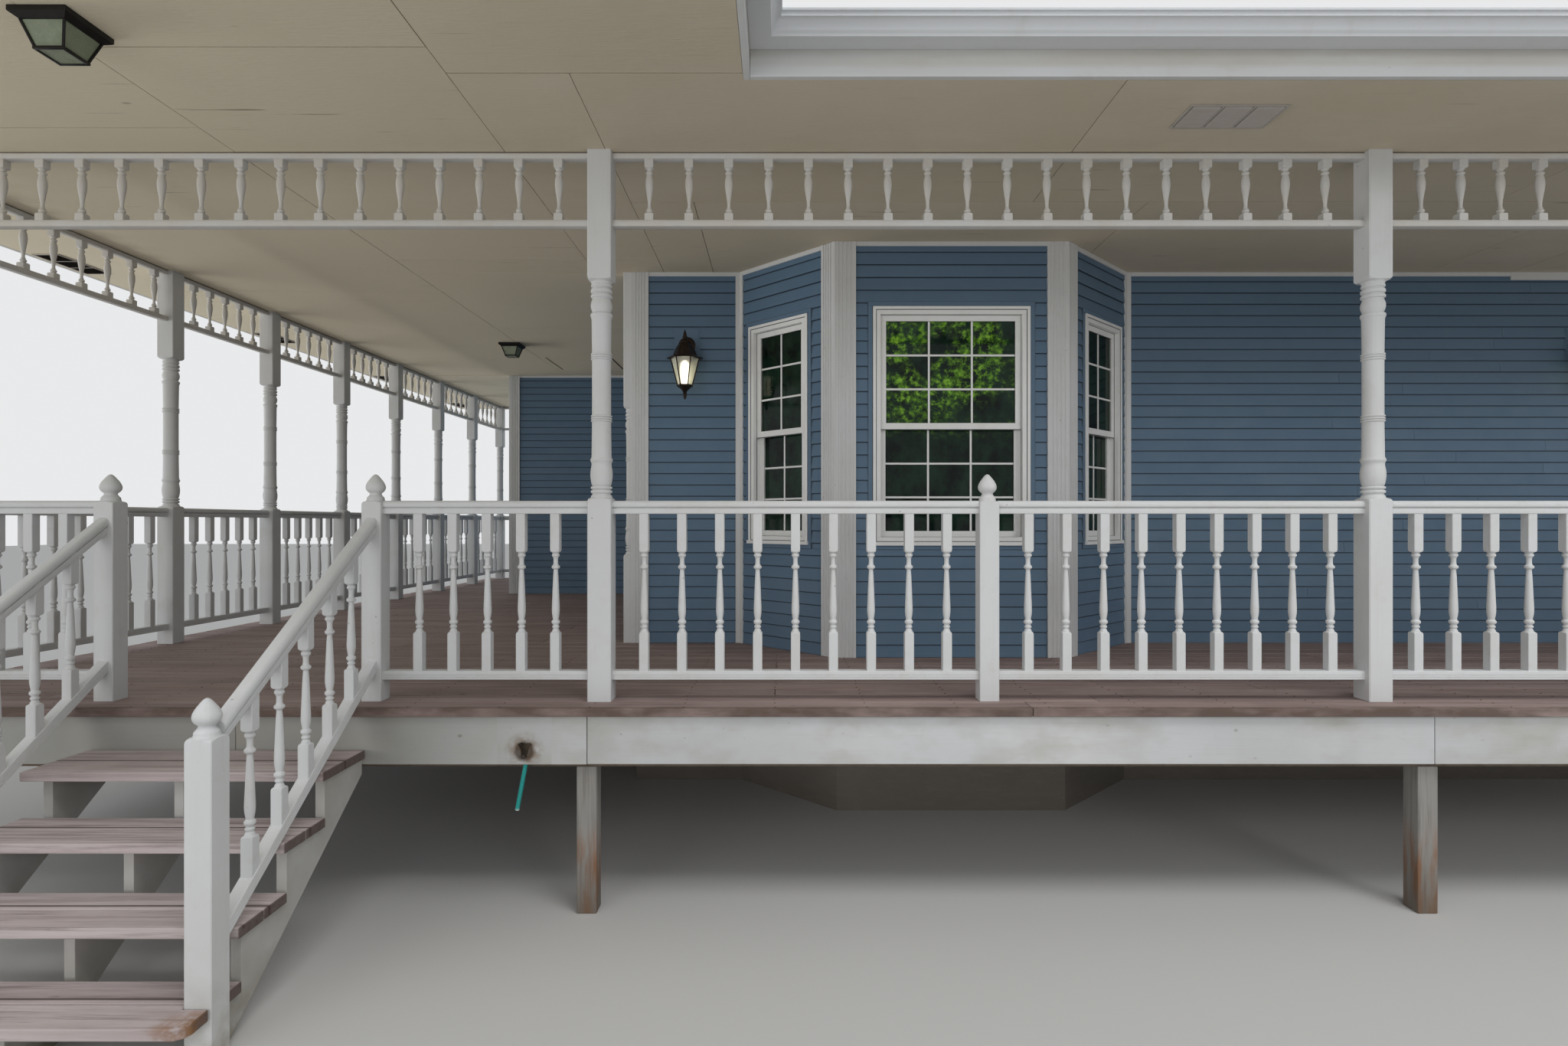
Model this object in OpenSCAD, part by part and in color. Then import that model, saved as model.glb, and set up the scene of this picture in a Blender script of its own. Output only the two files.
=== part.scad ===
// Wraparound front porch with turned posts, spindle frieze and open stairs.
// Plan sizes are measured from the middle of the front left corner post, heights from the deck top.

/* [Deck and floor frame] */
// Height of the deck top above the ground
deck_h = 930; // [870:1:1200]
// Thickness of the deck boards
deck_t = 38; // [25:1:50]
// Overhang of the deck boards in front of the post line
nosing = 183; // [170:1:240]
// Height of the rim boards
rim_h = 214; // [180:1:260]
// Thickness of rim boards, joists and ledgers
joist_t = 38; // [35:1:50]
// Height of the joists
joist_h = 184; // [140:1:200]
// Distance between joist centres
joist_gap = 406; // [300:1:610]
// Height of the girders
girder_h = 235; // [200:1:260]
// Side of the square support posts under the deck
pier_w = 89; // [80:1:140]

/* [Post plan] */
// From the corner post to the second front post
stair_bay = 3320; // [3000:1:4200]
// Distance between the other front posts
front_pitch = 3552; // [3000:1:4400]
// Number of front bays right of the second post
front_bays = 2; // [1:1:3]
// From the corner post to the first post of the left row
wing_first = 1756; // [1500:1:2200]
// Distance between the other posts of the left row
wing_pitch = 1057; // [900:1:1400]
// Number of those narrower bays
wing_bays = 6; // [5:1:8]

/* [House walls] */
// From the front posts to the front wall
wall_y = 1760; // [1700:1:2400]
// From the left posts to the side wall
side_x = 3140; // [2700:1:3240]
// From the left posts to the rear part of the side wall
rear_x = 1015; // [900:1:1400]
// From the front posts to the wall that steps back out
return_y = 5580; // [5200:1:6400]
// Thickness of the house walls
wall_t = 140; // [100:1:200]
// Height of the house walls above the deck
wall_top = 4100; // [4050:1:4800]
// Top of the concrete base, below the deck top
base_drop = 300; // [280:1:500]

/* [Bay with windows] */
// Left front corner of the bay, from the corner post
bay_x = 4472; // [4300:1:4900]
// Width of the bay's front
bay_w = 1400; // [1300:1:1700]
// How far the bay stands out of the wall
bay_d = 597; // [450:1:700]
// Sideways run of each slanted side
bay_run = 607; // [450:1:700]
// Height of the window sills above the deck
sill_z = 680; // [600:1:900]
// Height of the windows
window_h = 1440; // [1200:1:1500]
// Width of the front window
window_w = 950; // [800:1:1000]
// Width of the side windows
side_window_w = 535; // [400:1:560]
// From the bay's front corner to a side window
side_window_in = 222; // [150:1:230]

/* [Posts and newels] */
// Side of the square blocks on the turned posts
post_w = 108; // [100:1:120]
// Top of the lower square block
post_block = 927; // [920:1:1000]
// Bottom of the upper square block
post_upper = 1925; // [1880:1:2000]
// Top of the lower block of the half post on the house corner
half_post_block = 600; // [500:1:800]
// How far the half post stands out from the corner board
half_post_out = 48; // [40:1:54]
// Side of the newels
newel_w = 89; // [80:1:100]
// Top of the newels' square part
newel_top = 912; // [912:1:980]
// Left newel of the stairs, from the corner post
newel_left_x = 1060; // [960:1:1300]
// Right newel of the stairs, from the corner post
newel_right_x = 2280; // [2200:1:2500]

/* [Railings] */
// Underside of the top rail
rail_z = 854; // [820:1:900]
// Height of the top rail
rail_h = 60; // [50:1:70]
// Depth of the top rail
rail_d = 56; // [50:1:70]
// Underside of the bottom rail
foot_z = 95; // [80:1:130]
// Height of the bottom rail
foot_h = 40; // [35:1:50]
// Side of the square ends of the balusters
baluster_w = 42; // [38:1:46]
// Distance between balusters in the long panels
baluster_pitch = 174; // [160:1:220]

/* [Frieze] */
// Underside of the frieze, above the deck
frieze_z = 2170; // [2150:1:2250]
// Height of the frieze rails
frieze_rail_h = 30; // [26:1:40]
// Depth of the frieze rails
frieze_rail_d = 48; // [40:1:60]
// Side of the spindles' square ends
spindle_w = 38; // [34:1:40]
// Distance between spindles in the long panels
spindle_pitch = 183; // [170:1:230]

/* [Stairs] */
// Depth of one step
step_run = 250; // [240:1:270]
// Width of one tread board
tread_board = 130; // [122:1:140]
// Front edge of the top tread, in front of the post line
tread_1_front = 487; // [470:1:540]
// Distance of the lower newels in front of the post line
low_newel_y = 1085; // [1060:1:1110]
// Length of the treads
tread_len = 1219; // [1150:1:1300]

/* [Ceiling and roof] */
// Height of the ceiling above the deck
ceil_z = 2510; // [2480:1:2700]
// Thickness of the ceiling boards
ceil_t = 12; // [9:1:20]
// Overhang of the eaves in front of the post lines
eave = 646; // [500:1:700]
// Right edge of the gable over the stairs, from the corner post
gable_r = 4030; // [3900:1:4300]
// Front edge of the gable, in front of the post line
gable_y = 1750; // [1600:1:2000]
// Rise of the roof over its run
roof_rise = 0.33; // [0.28:0.01:0.34]
// Top of the roof at the eaves, above the deck
roof_z = 2745; // [2720:1:2900]
// Thickness of the roof boards and shingles
roof_t = 50; // [40:1:70]
// Thickness of fascia and rake boards
fascia_t = 25; // [19:1:38]
// Depth of the gutters
gutter_d = 125; // [110:1:140]
// Height of the gutters
gutter_h = 83; // [75:1:120]
// Thickness of the gutters' folded metal
gutter_wall = 3; // [2:1:4]

/* [Hidden] */
$fn = 32;

trim_white = "#dcd9d0";
ceiling_cream = "#cfc6ac";
deck_brown = "#8d7a70";
tread_brown = "#7f736b";
siding_blue = "#5c7a95";
shingle_grey = "#4c4a49";
concrete_grey = "#9b978e";
frame_brown = "#6d6459";
lamp_black = "#24211f";
tube_teal = "#1f8f8c";

// Ends of the rows of posts
last_x = stair_bay + front_bays*front_pitch;
last_y = wing_first + wing_bays*wing_pitch;
// Eave lines, and where the left row's deck and roof stop
end_x = last_x + eave;
deck_end_y = last_y + nosing;
roof_end_y = deck_end_y + 20;
// The pitch of the roof and how thick its slabs are when measured plumb
pitch = atan(roof_rise);
slab_v = roof_t/cos(pitch);
fascia_top = roof_z - slab_v;
// Middle of the gable over the stairs
ridge_x = (gable_r - eave)/2;
ridge_run = ridge_x + eave;
ridge_under = fascia_top + roof_rise*ridge_run;
// Heights under the deck
board_under = -deck_t;
rim_low = board_under - rim_h;
girder_low = board_under - girder_h;
rim_back = 25;
rim_face = nosing - rim_back;
// Middle of the girder under the front posts
girder_y = 82 - rim_face;
// Middle of the origin's plan and how far the plan moves to it
mid_x = last_x/2;
mid_y = (roof_end_y - gable_y)/2;
// The bay's left end on the wall, and the ratio between its slanted length and its depth
bay_left_x = bay_x - bay_run;
bay_right_x = bay_x + bay_w + bay_run;
bay_side = sqrt(bay_run*bay_run + bay_d*bay_d);
bay_y = wall_y - bay_d;

module place() { translate([-mid_x, -mid_y, deck_h]) children(); }
// A block given by its low and high corners
module block(low, high) { translate(low) cube(high - low); }

// Where the outer face of the front wall and bay lies at x
function wall_face(x) =
    x <= bay_left_x || x >= bay_right_x ? wall_y :
    x < bay_x ? wall_y - (x - bay_left_x)*bay_d/bay_run :
    x <= bay_x + bay_w ? bay_y :
    wall_y - (bay_right_x - x)*bay_d/bay_run;

// Places along a panel: long panels keep the pitch, short ones share their length evenly
function spots(len, pitch) =
    let (n = floor(len/pitch), s = n > 6 ? pitch : len/(n + 1))
    [for (i = [0:1:n-1]) (len - (n - 1)*s)/2 + i*s];

function post_x(i) = stair_bay + i*front_pitch;
function wing_y(i) = wing_first + i*wing_pitch;
front_post_x = concat([0], [for (i = [0:front_bays]) post_x(i)]);
mid_newel_x = [for (i = [0:front_bays-1]) post_x(i) + front_pitch/2];
wing_post_y = [for (i = [0:wing_bays]) wing_y(i)];

// The bay's bent wall in plan, set in from the siding face by inset and t thick
function bay_line(o, y_back) = [
    [bay_left_x + (o*bay_side - (y_back - wall_y)*bay_run)/bay_d, y_back],
    [bay_x + o*(bay_side - bay_run)/bay_d, bay_y + o],
    [bay_x + bay_w - o*(bay_side - bay_run)/bay_d, bay_y + o],
    [bay_right_x - (o*bay_side - (y_back - wall_y)*bay_run)/bay_d, y_back]];
function reversed(v) = [for (i = [len(v)-1:-1:0]) v[i]];
module bay_plan(inset, t) {
    polygon(concat(bay_line(inset, wall_y), reversed(bay_line(inset + t, wall_y))));
}

// Concrete base under the house walls
base_t = 200;
base_in = 15;
module base() {
    color(concrete_grey) place() translate([0, 0, -deck_h]) linear_extrude(deck_h - base_drop) children();
}
module foundation_front() {
    base() union() {
        translate([side_x + base_in, wall_y + base_in])
            square([bay_left_x + (base_in + base_t)*bay_side/bay_d - side_x - base_in, base_t]);
        translate([bay_right_x - (base_in + base_t)*bay_side/bay_d, wall_y + base_in])
            square([end_x - bay_right_x + (base_in + base_t)*bay_side/bay_d, base_t]);
        polygon(concat(bay_line(base_in, wall_y + base_in), reversed(bay_line(base_in + base_t, wall_y + base_in))));
    }
}
module foundation_side() {
    base() union() {
        translate([side_x + base_in, wall_y + base_in + base_t]) square([base_t, return_y - wall_y]);
        translate([rear_x + base_in, return_y + base_in]) square([side_x - rear_x + base_t, base_t]);
        translate([rear_x + base_in, return_y + base_in]) square([base_t, roof_end_y - return_y - base_in]);
    }
}

// Square posts from the ground to the girders and to the beam across the wing.
// Along the front they stand a little wider apart than the turned posts.
pier_shift = -40;
pier_spread = 198;
pier_x = concat([pier_w/2 - 30],
    [for (i = [0:front_bays]) min(post_x(i) + pier_shift + i*pier_spread, last_x)]);
pier_y = [for (i = [1:2:wing_bays]) wing_y(i)];
cross_beam_h = 140;
cross_low = board_under - joist_h - cross_beam_h;
module pier(x, y, top) { block([x - pier_w/2, y - pier_w/2, -deck_h], [x + pier_w/2, y + pier_w/2, top]); }
module support_posts() {
    color(trim_white) place() {
        for (x = pier_x) pier(x, girder_y, girder_low);
        for (y = pier_y) pier(girder_left_x, y, girder_low);
        pier(side_x/2, wing_y(1), cross_low);
    }
}

// Girders on the posts, joists between them and ledgers along the walls
girder_left_x = -rim_face + 82;
beam_t = 2*joist_t;
joist_low = board_under - joist_h;
module joist(x, y0, y1) { block([x - joist_t/2, y0, joist_low], [x + joist_t/2, y1, board_under]); }
function joist_rows(x0, x1) = [for (x = [x0:joist_gap:x1]) x];
front_y = girder_y + beam_t/2;
side_in = girder_left_x + beam_t/2;
frame_end_y = deck_end_y - rim_back - joist_t;
module floor_frame_front() {
    color(frame_brown) place() union() {
        block([-rim_face + joist_t, girder_y - beam_t/2, girder_low], [last_x + rim_face - joist_t, front_y, board_under]);
        for (x = joist_rows(side_x + joist_gap/2, last_x + rim_face - joist_gap/2))
            joist(x, front_y, min(wall_face(x - joist_t/2), wall_face(x + joist_t/2)));
        block([side_x - joist_t, wall_y - joist_t, joist_low], [bay_left_x - joist_t, wall_y, board_under]);
        block([bay_right_x + joist_t, wall_y - joist_t, joist_low], [last_x + rim_face - joist_t, wall_y, board_under]);
    }
}
module floor_frame_wing() {
    color(frame_brown) place() union() {
        block([side_in - beam_t, front_y, girder_low], [side_in, frame_end_y, board_under]);
        for (beam = [[wing_y(1), side_x], [wing_y(wing_bays - 1), rear_x]])
            block([girder_left_x + pier_w/2, beam[0] - joist_t, cross_low], [beam[1], beam[0] + joist_t, joist_low]);
        for (x = joist_rows(side_in + joist_gap, side_x - joist_gap/2))
            joist(x, front_y, x < rear_x - joist_t ? frame_end_y : return_y);
        block([side_x - joist_t, wall_y, joist_low], [side_x, return_y, board_under]);
        block([side_in, return_y - joist_t, joist_low], [side_x - joist_t, return_y, board_under]);
        block([rear_x - joist_t, return_y, joist_low], [rear_x, frame_end_y, board_under]);
    }
}

// White boards round the outside of the floor frame
module rim_boards() {
    color(trim_white) place() union() {
        block([-rim_face, -rim_face, rim_low], [last_x + rim_face, joist_t - rim_face, board_under]);
        block([-rim_face, -rim_face, rim_low], [joist_t - rim_face, deck_end_y - rim_back, board_under]);
        block([last_x + rim_face - joist_t, -rim_face, rim_low], [last_x + rim_face, wall_y, board_under]);
        block([-rim_face, deck_end_y - rim_back - joist_t, rim_low], [rear_x, deck_end_y - rim_back, board_under]);
    }
}

// Deck boards, as one layer in front of the house and one in the left wing
module deck_front() {
    color(deck_brown) place() translate([0, 0, -deck_t]) linear_extrude(deck_t) difference() {
        translate([-nosing, -nosing]) square([last_x + 2*nosing, wall_y + nosing]);
        polygon(bay_line(0, wall_y));
    }
}
module deck_wing() {
    color(deck_brown) place() translate([0, 0, -deck_t]) linear_extrude(deck_t) union() {
        translate([-nosing, wall_y]) square([side_x + nosing, return_y - wall_y]);
        translate([-nosing, wall_y]) square([rear_x + nosing, deck_end_y - wall_y]);
    }
}

// Stairs: open treads of two boards on three sawtooth stringers
treads = 4;
riser = deck_h/(treads + 1);
tread_t = deck_t;
tread_gap = 4;
tread_nose = 40;
// The top tread has wider boards that reach back to the rim board
first_board = (tread_1_front - rim_face - 10 - tread_gap)/2;
throat = 100;
tread_right_x = newel_right_x + 38;
tread_left_x = tread_right_x - tread_len;
stringer_x = [tread_left_x + 80, tread_left_x + tread_len/2, newel_right_x];
low_back = newel_w/2 - low_newel_y;
function seat_front(i) = tread_nose - tread_1_front - (i - 1)*step_run;
function seat_z(i) = -riser*i - tread_t;
stringer_line = concat(
    [[-rim_face, seat_z(1)]],
    [for (i = [1:treads]) for (z = [seat_z(i), i < treads ? seat_z(i + 1) : -deck_h]) [seat_front(i), z]],
    [[seat_front(1) + (throat - deck_h - seat_z(2))*step_run/riser, -deck_h],
     [-rim_face, seat_z(2) - throat - (seat_front(1) + rim_face)*riser/step_run]]);
module stair_stringers() {
    color(trim_white) place() difference() {
        for (x = stringer_x) translate([x - joist_t/2, 0, 0]) rotate([90, 0, 90]) linear_extrude(joist_t)
            polygon(stringer_line);
        block([newel_right_x - newel_w/2, -2*low_newel_y, -2*deck_h], [newel_right_x + newel_w/2, low_back, 0]);
    }
}
module tread(i) {
    front = -tread_1_front - (i - 1)*step_run;
    board = i == 1 ? first_board : tread_board;
    color(tread_brown) place() difference() {
        for (k = [0, 1]) translate([tread_left_x, front + k*(board + tread_gap), -riser*i - tread_t])
            cube([tread_len, board, tread_t]);
        for (x = [newel_left_x, newel_right_x])
            block([x - newel_w/2, low_back - newel_w, -deck_h], [x + newel_w/2, low_back, 0]);
    }
}
module tread_1() { tread(1); }
module tread_2() { tread(2); }
module tread_3() { tread(3); }
module tread_4() { tread(4); }

// Acorn on a short neck, on top of a square newel
finial_h = 124;
finial_r = 43;
neck_r = 26;
neck_h = 14;
finial_line = concat([[0, 0], [neck_r, 0], [neck_r, neck_h]],
    [for (a = [-40:16:56]) [finial_r*cos(a), neck_h + 34 + finial_r*sin(a)]], [[0, finial_h]]);
module newel(x, y, low, top) {
    block([x - newel_w/2, y - newel_w/2, low], [x + newel_w/2, y + newel_w/2, top]);
    translate([x, y, top]) rotate_extrude() polygon(finial_line);
}
// The hand rail is a little flatter than the flight, and the foot rail lies on the top tread's nose
hand_slope = 0.92*riser/step_run;
foot_slope = 0.968*riser/step_run;
hand_top_z = 800;
foot_lift = 2;
foot_top_z = foot_slope*(tread_1_front - newel_w/2) - riser + foot_h/2/cos(atan(foot_slope)) + foot_lift;
low_newel_top = hand_top_z - hand_slope*(low_newel_y - newel_w);
module stair_newels() {
    color(trim_white) place()
        for (x = [newel_left_x, newel_right_x]) newel(x, -low_newel_y, -deck_h, low_newel_top);
}
module deck_newels() {
    color(trim_white) place()
        for (x = concat([newel_left_x, newel_right_x], mid_newel_x)) newel(x, 0, 0, newel_top);
}

// Turned posts: square blocks below and above a turned shaft
shaft_r = 44;
ring_r = 49;
cove_r = 40;
post_line = [[cove_r, 0], [cove_r, 22], [ring_r, 26], [ring_r, 52], [42, 60], [ring_r, 93], [shaft_r, 148],
    [ring_r, 165], [ring_r, 182], [shaft_r, 190], [shaft_r, 345], [ring_r, 350], [ring_r, 380],
    [shaft_r, 385], [shaft_r, 628], [ring_r, 633], [ring_r, 665], [shaft_r, 670], [shaft_r, 824],
    [ring_r, 836], [ring_r, 850], [42, 858], [ring_r, 889], [42, 918], [ring_r, 926], [ring_r, 962],
    [cove_r, 976], [cove_r, 998]];
module turned_post(x, y, foot = post_block) {
    turned_h = post_upper - post_block;
    stretch = turned_h/998;
    block([x - post_w/2, y - post_w/2, 0], [x + post_w/2, y + post_w/2, foot]);
    block([x - post_w/2, y - post_w/2, foot + turned_h], [x + post_w/2, y + post_w/2, ceil_z]);
    translate([x, y, foot]) rotate_extrude()
        polygon(concat([[0, 0]], [for (p = post_line) [p[0], p[1]*stretch]], [[0, turned_h]]));
}
module front_posts() { color(trim_white) place() for (x = front_post_x) turned_post(x, 0); }
module wing_posts() { color(trim_white) place() for (y = wing_post_y) turned_post(0, y); }

// Railings: moulded top and bottom rails with turned balusters between them
rail_half = rail_d/2;
rail_line = [[19, 0], [19, 14], [15, 19], [rail_half, 27], [rail_half, 42], [rail_half - 6, rail_h - 6],
    [rail_half - 18, rail_h]];
foot_half = 26;
foot_line = [[foot_half, 0], [foot_half, foot_h - 16], [foot_half - 2, foot_h]];
function both_sides(half) = concat(half, [for (i = [len(half)-1:-1:0]) [-half[i][0], half[i][1]]]);
block_h = 176;
baluster_line = [[18.5, 0], [18.5, 14], [11.5, 22], [11.5, 32], [19, 40], [19, 54], [13, 62], [19, 150],
    [18, 190], [10.5, 300], [10.5, 316], [19, 322], [19, 334], [11, 340], [11, 350], [19, 356], [19, 367]];
baluster_h = 367;
// How far the square ends reach over the turned stretch
seam = 0.5;
module turning(line, h, line_h) {
    rotate_extrude() polygon(concat([[0, 0]], [for (p = line) [p[0], p[1]*h/line_h]], [[0, h]]));
}
module baluster(low, high) {
    middle = (low + high)/2;
    for (z = [[low, middle - baluster_h/2 + seam], [middle + baluster_h/2 - seam, high]])
        block([-baluster_w/2, -baluster_w/2, z[0]], [baluster_w/2, baluster_w/2, z[1]]);
    translate([0, 0, middle - baluster_h/2]) turning(baluster_line, baluster_h, baluster_h);
}
module along(from, to) { translate(from) rotate([0, 0, atan2(to[1] - from[1], to[0] - from[0])]) children(); }
module bar(len, line) { rotate([90, 0, 90]) linear_extrude(len) polygon(both_sides(line)); }
module railing(from, to) {
    len = norm(to - from);
    along(from, to) {
        translate([0, 0, rail_z]) bar(len, rail_line);
        translate([0, 0, foot_z]) bar(len, foot_line);
        for (x = spots(len, baluster_pitch)) translate([x, 0, 0]) baluster(foot_z + foot_h, rail_z);
    }
}
post_in = post_w/2;
newel_in = newel_w/2;
module railing_left() { color(trim_white) place() railing([post_in, 0], [newel_left_x - newel_in, 0]); }
module railing_stair() { color(trim_white) place() railing([newel_right_x + newel_in, 0], [post_x(0) - post_in, 0]); }
module front_bay_railing(i) {
    railing([post_x(i) + post_in, 0], [mid_newel_x[i] - newel_in, 0]);
    railing([mid_newel_x[i] + newel_in, 0], [post_x(i + 1) - post_in, 0]);
}
module railing_centre() { color(trim_white) place() front_bay_railing(0); }
module railing_right() { color(trim_white) place() if (front_bays > 1) for (i = [1:front_bays-1]) front_bay_railing(i); }
module railing_wing() {
    color(trim_white) place() {
        railing([0, post_in], [0, wing_first - post_in]);
        for (i = [0:wing_bays-1]) railing([0, wing_y(i) + post_in], [0, wing_y(i + 1) - post_in]);
    }
}
module railing_ends() {
    color(trim_white) place() {
        railing([last_x, post_in], [last_x, wall_y]);
        railing([post_in, last_y], [rear_x, last_y]);
    }
}

// Sloping railings of the stairs, between the upper and lower newels
module sloped_bar(z, slope, line, h) {
    translate([0, -newel_in, z]) rotate([atan(slope), 0, 0]) translate([0, low_newel_y, -h/2])
        rotate([90, 0, 0]) linear_extrude(3*low_newel_y) polygon(both_sides(line));
}
module stair_railing(x) {
    run = low_newel_y - newel_w;
    translate([x, 0, 0]) {
        intersection() {
            union() {
                sloped_bar(hand_top_z, hand_slope, rail_line, rail_h);
                sloped_bar(foot_top_z, foot_slope, foot_line, foot_h);
            }
            block([-rail_d, low_back, -deck_h], [rail_d, -newel_in, rail_z + rail_h]);
        }
        for (y = spots(run, baluster_pitch)) translate([0, -newel_in - y, 0])
            baluster(foot_top_z - foot_slope*y, hand_top_z - hand_slope*y);
    }
}
module stair_railings() { color(trim_white) place() for (x = [newel_left_x, newel_right_x]) stair_railing(x); }

// Spindle frieze between the posts, right under the ceiling
frieze_half = frieze_rail_d/2;
frieze_line = [[frieze_half - 4, 0], [frieze_half, 6], [frieze_half, frieze_rail_h - 6], [frieze_half - 4, frieze_rail_h]];
spindle_line = [[12, 0], [16, 10], [16, 22], [7.5, 32], [14, 150], [16, 178], [10, 198], [15.5, 206], [15.5, 211]];
spindle_low = 32;
spindle_high = 37;
module frieze(from, to) {
    len = norm(to - from);
    low = frieze_z + frieze_rail_h;
    high = ceil_z - frieze_rail_h;
    along(from, to) {
        translate([0, 0, frieze_z]) bar(len, frieze_line);
        translate([0, 0, high]) bar(len, frieze_line);
        for (x = spots(len, spindle_pitch)) translate([x, 0, 0]) {
            block([-spindle_w/2, -spindle_w/2, low], [spindle_w/2, spindle_w/2, low + spindle_low]);
            block([-spindle_w/2, -spindle_w/2, high - spindle_high], [spindle_w/2, spindle_w/2, high]);
            translate([0, 0, low + spindle_low]) turning(spindle_line, high - low - spindle_low - spindle_high, 211);
        }
    }
}
module frieze_left() { color(trim_white) place() frieze([post_in, 0], [post_x(0) - post_in, 0]); }
module frieze_centre() { color(trim_white) place() frieze([post_x(0) + post_in, 0], [post_x(1) - post_in, 0]); }
module frieze_right() {
    color(trim_white) place() if (front_bays > 1)
        for (i = [1:front_bays-1]) frieze([post_x(i) + post_in, 0], [post_x(i + 1) - post_in, 0]);
}
module frieze_wing() {
    color(trim_white) place() {
        frieze([0, post_in], [0, wing_first - post_in]);
        for (i = [0:wing_bays-1]) frieze([0, wing_y(i) + post_in], [0, wing_y(i + 1) - post_in]);
    }
}
module frieze_ends() {
    color(trim_white) place() {
        frieze([last_x, post_in], [last_x, wall_y]);
        frieze([post_in, last_y], [rear_x, last_y]);
    }
}

// Ceiling boards under the roof, and the vents set into the overhangs
ceil_in = eave - fascia_t;
module ceiling_front() {
    color(ceiling_cream) place()
        block([-ceil_in, -ceil_in, ceil_z], [end_x - fascia_t, wall_y, ceil_z + ceil_t]);
}
module ceiling_gable() {
    color(ceiling_cream) place()
        block([-ceil_in, fascia_t - gable_y, ceil_z], [gable_r - fascia_t, -ceil_in, ceil_z + ceil_t]);
}
module ceiling_wing() {
    color(ceiling_cream) place() translate([0, 0, ceil_z]) linear_extrude(ceil_t) union() {
        translate([-ceil_in, wall_y]) square([ceil_in + side_x, return_y - wall_y]);
        translate([-ceil_in, wall_y]) square([ceil_in + rear_x, roof_end_y - fascia_t - wall_y]);
    }
}
vent_l = 403;
vent_w = 195;
vent_t = 8;
vent_pitch = 2105;
front_vent_x = 6015;
front_vent_in = 346;
wing_vent_y = 1575;
wing_vent_in = 505;
wing_vent_w = 170;
module soffit_vents() {
    color(ceiling_cream) place() {
        for (x = [front_vent_x:vent_pitch:last_x]) translate([x - vent_l/2, -front_vent_in - vent_w/2, ceil_z - vent_t])
            cube([vent_l, vent_w, vent_t]);
        for (y = [wing_vent_y:vent_pitch:last_y]) translate([-wing_vent_in - wing_vent_w/2, y - vent_l/2, ceil_z - vent_t])
            cube([wing_vent_w, vent_l, vent_t]);
    }
}

// House walls behind the porch
wall_low = -base_drop;
bay_cut = wall_t*bay_side/bay_d;
module wall_front() {
    color(siding_blue) place() difference() {
        block([side_x, wall_y, wall_low], [end_x, wall_y + wall_t, wall_top]);
        block([bay_left_x + bay_cut, wall_y - 1, wall_low - 1], [bay_right_x - bay_cut, wall_y + wall_t + 1, ceil_z]);
    }
}
module wall_side() {
    color(siding_blue) place() block([side_x, wall_y + wall_t, wall_low], [side_x + wall_t, return_y, wall_top]);
}
module wall_return() {
    color(siding_blue) place() block([rear_x, return_y, wall_low], [side_x + wall_t, return_y + wall_t, wall_top]);
}
module wall_rear() {
    color(siding_blue) place()
        block([rear_x, return_y + wall_t, wall_low], [rear_x + wall_t, roof_end_y, wall_top]);
}

// Each window stands in one of these three places: its middle on the wall face, and its turn
slant = atan(bay_d/bay_run);
side_middle = side_window_in + side_window_w/2;
module at_front_window() { translate([bay_x + bay_w/2, bay_y, sill_z]) children(); }
module at_left_window() {
    translate([bay_x - side_middle*cos(slant), bay_y + side_middle*sin(slant), sill_z]) rotate([0, 0, -slant]) children();
}
module at_right_window() {
    translate([bay_x + bay_w + side_middle*cos(slant), bay_y + side_middle*sin(slant), sill_z])
        rotate([0, 0, slant]) children();
}
module bay_walls() {
    color(siding_blue) place() difference() {
        translate([0, 0, wall_low]) linear_extrude(ceil_z - wall_low) bay_plan(0, wall_t);
        at_front_window() window_hole(window_w);
        at_left_window() window_hole(side_window_w);
        at_right_window() window_hole(side_window_w);
    }
}
module window_hole(w) { block([-w/2, -20, 0], [w/2, wall_t + 20, window_h]); }

// White boards on the corners of house and bay
pilaster_w = 122;
pilaster_t = 20;
pilaster_in = 100;
module corner_board(x, y) {
    translate([x - pilaster_t, y - pilaster_t, 0]) linear_extrude(ceil_z) difference() {
        square(pilaster_w);
        translate([pilaster_t, pilaster_t]) square(pilaster_w);
    }
}
module bay_board_plan() {
    out = bay_line(-pilaster_t, wall_y)[1];
    polygon([[bay_x + pilaster_w, bay_y], [bay_x, bay_y],
        [bay_x - pilaster_in*cos(slant), bay_y + pilaster_in*sin(slant)],
        [bay_x - pilaster_in*cos(slant) - pilaster_t*sin(slant), bay_y + pilaster_in*sin(slant) - pilaster_t*cos(slant)],
        out, [bay_x + pilaster_w, bay_y - pilaster_t]]);
}
module both_bay_ends() {
    children();
    translate([2*bay_x + bay_w, 0]) mirror([1, 0]) children();
}
module corner_pilasters() {
    color(trim_white) place() {
        corner_board(side_x, wall_y);
        corner_board(rear_x, return_y);
        block([end_x - pilaster_w, wall_y - pilaster_t, 0], [end_x, wall_y, ceil_z]);
        linear_extrude(ceil_z) both_bay_ends() bay_board_plan();
    }
}

// A turned post split lengthwise, flat against the left corner board
module half_post() {
    face_x = side_x - pilaster_t;
    middle_y = wall_y - pilaster_t + pilaster_w/2;
    color(trim_white) place() intersection() {
        turned_post(face_x - half_post_out + post_w/2, middle_y, half_post_block);
        block([face_x - post_w, middle_y - post_w, -1], [face_x, middle_y + post_w, ceil_z + 1]);
    }
}

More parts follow.
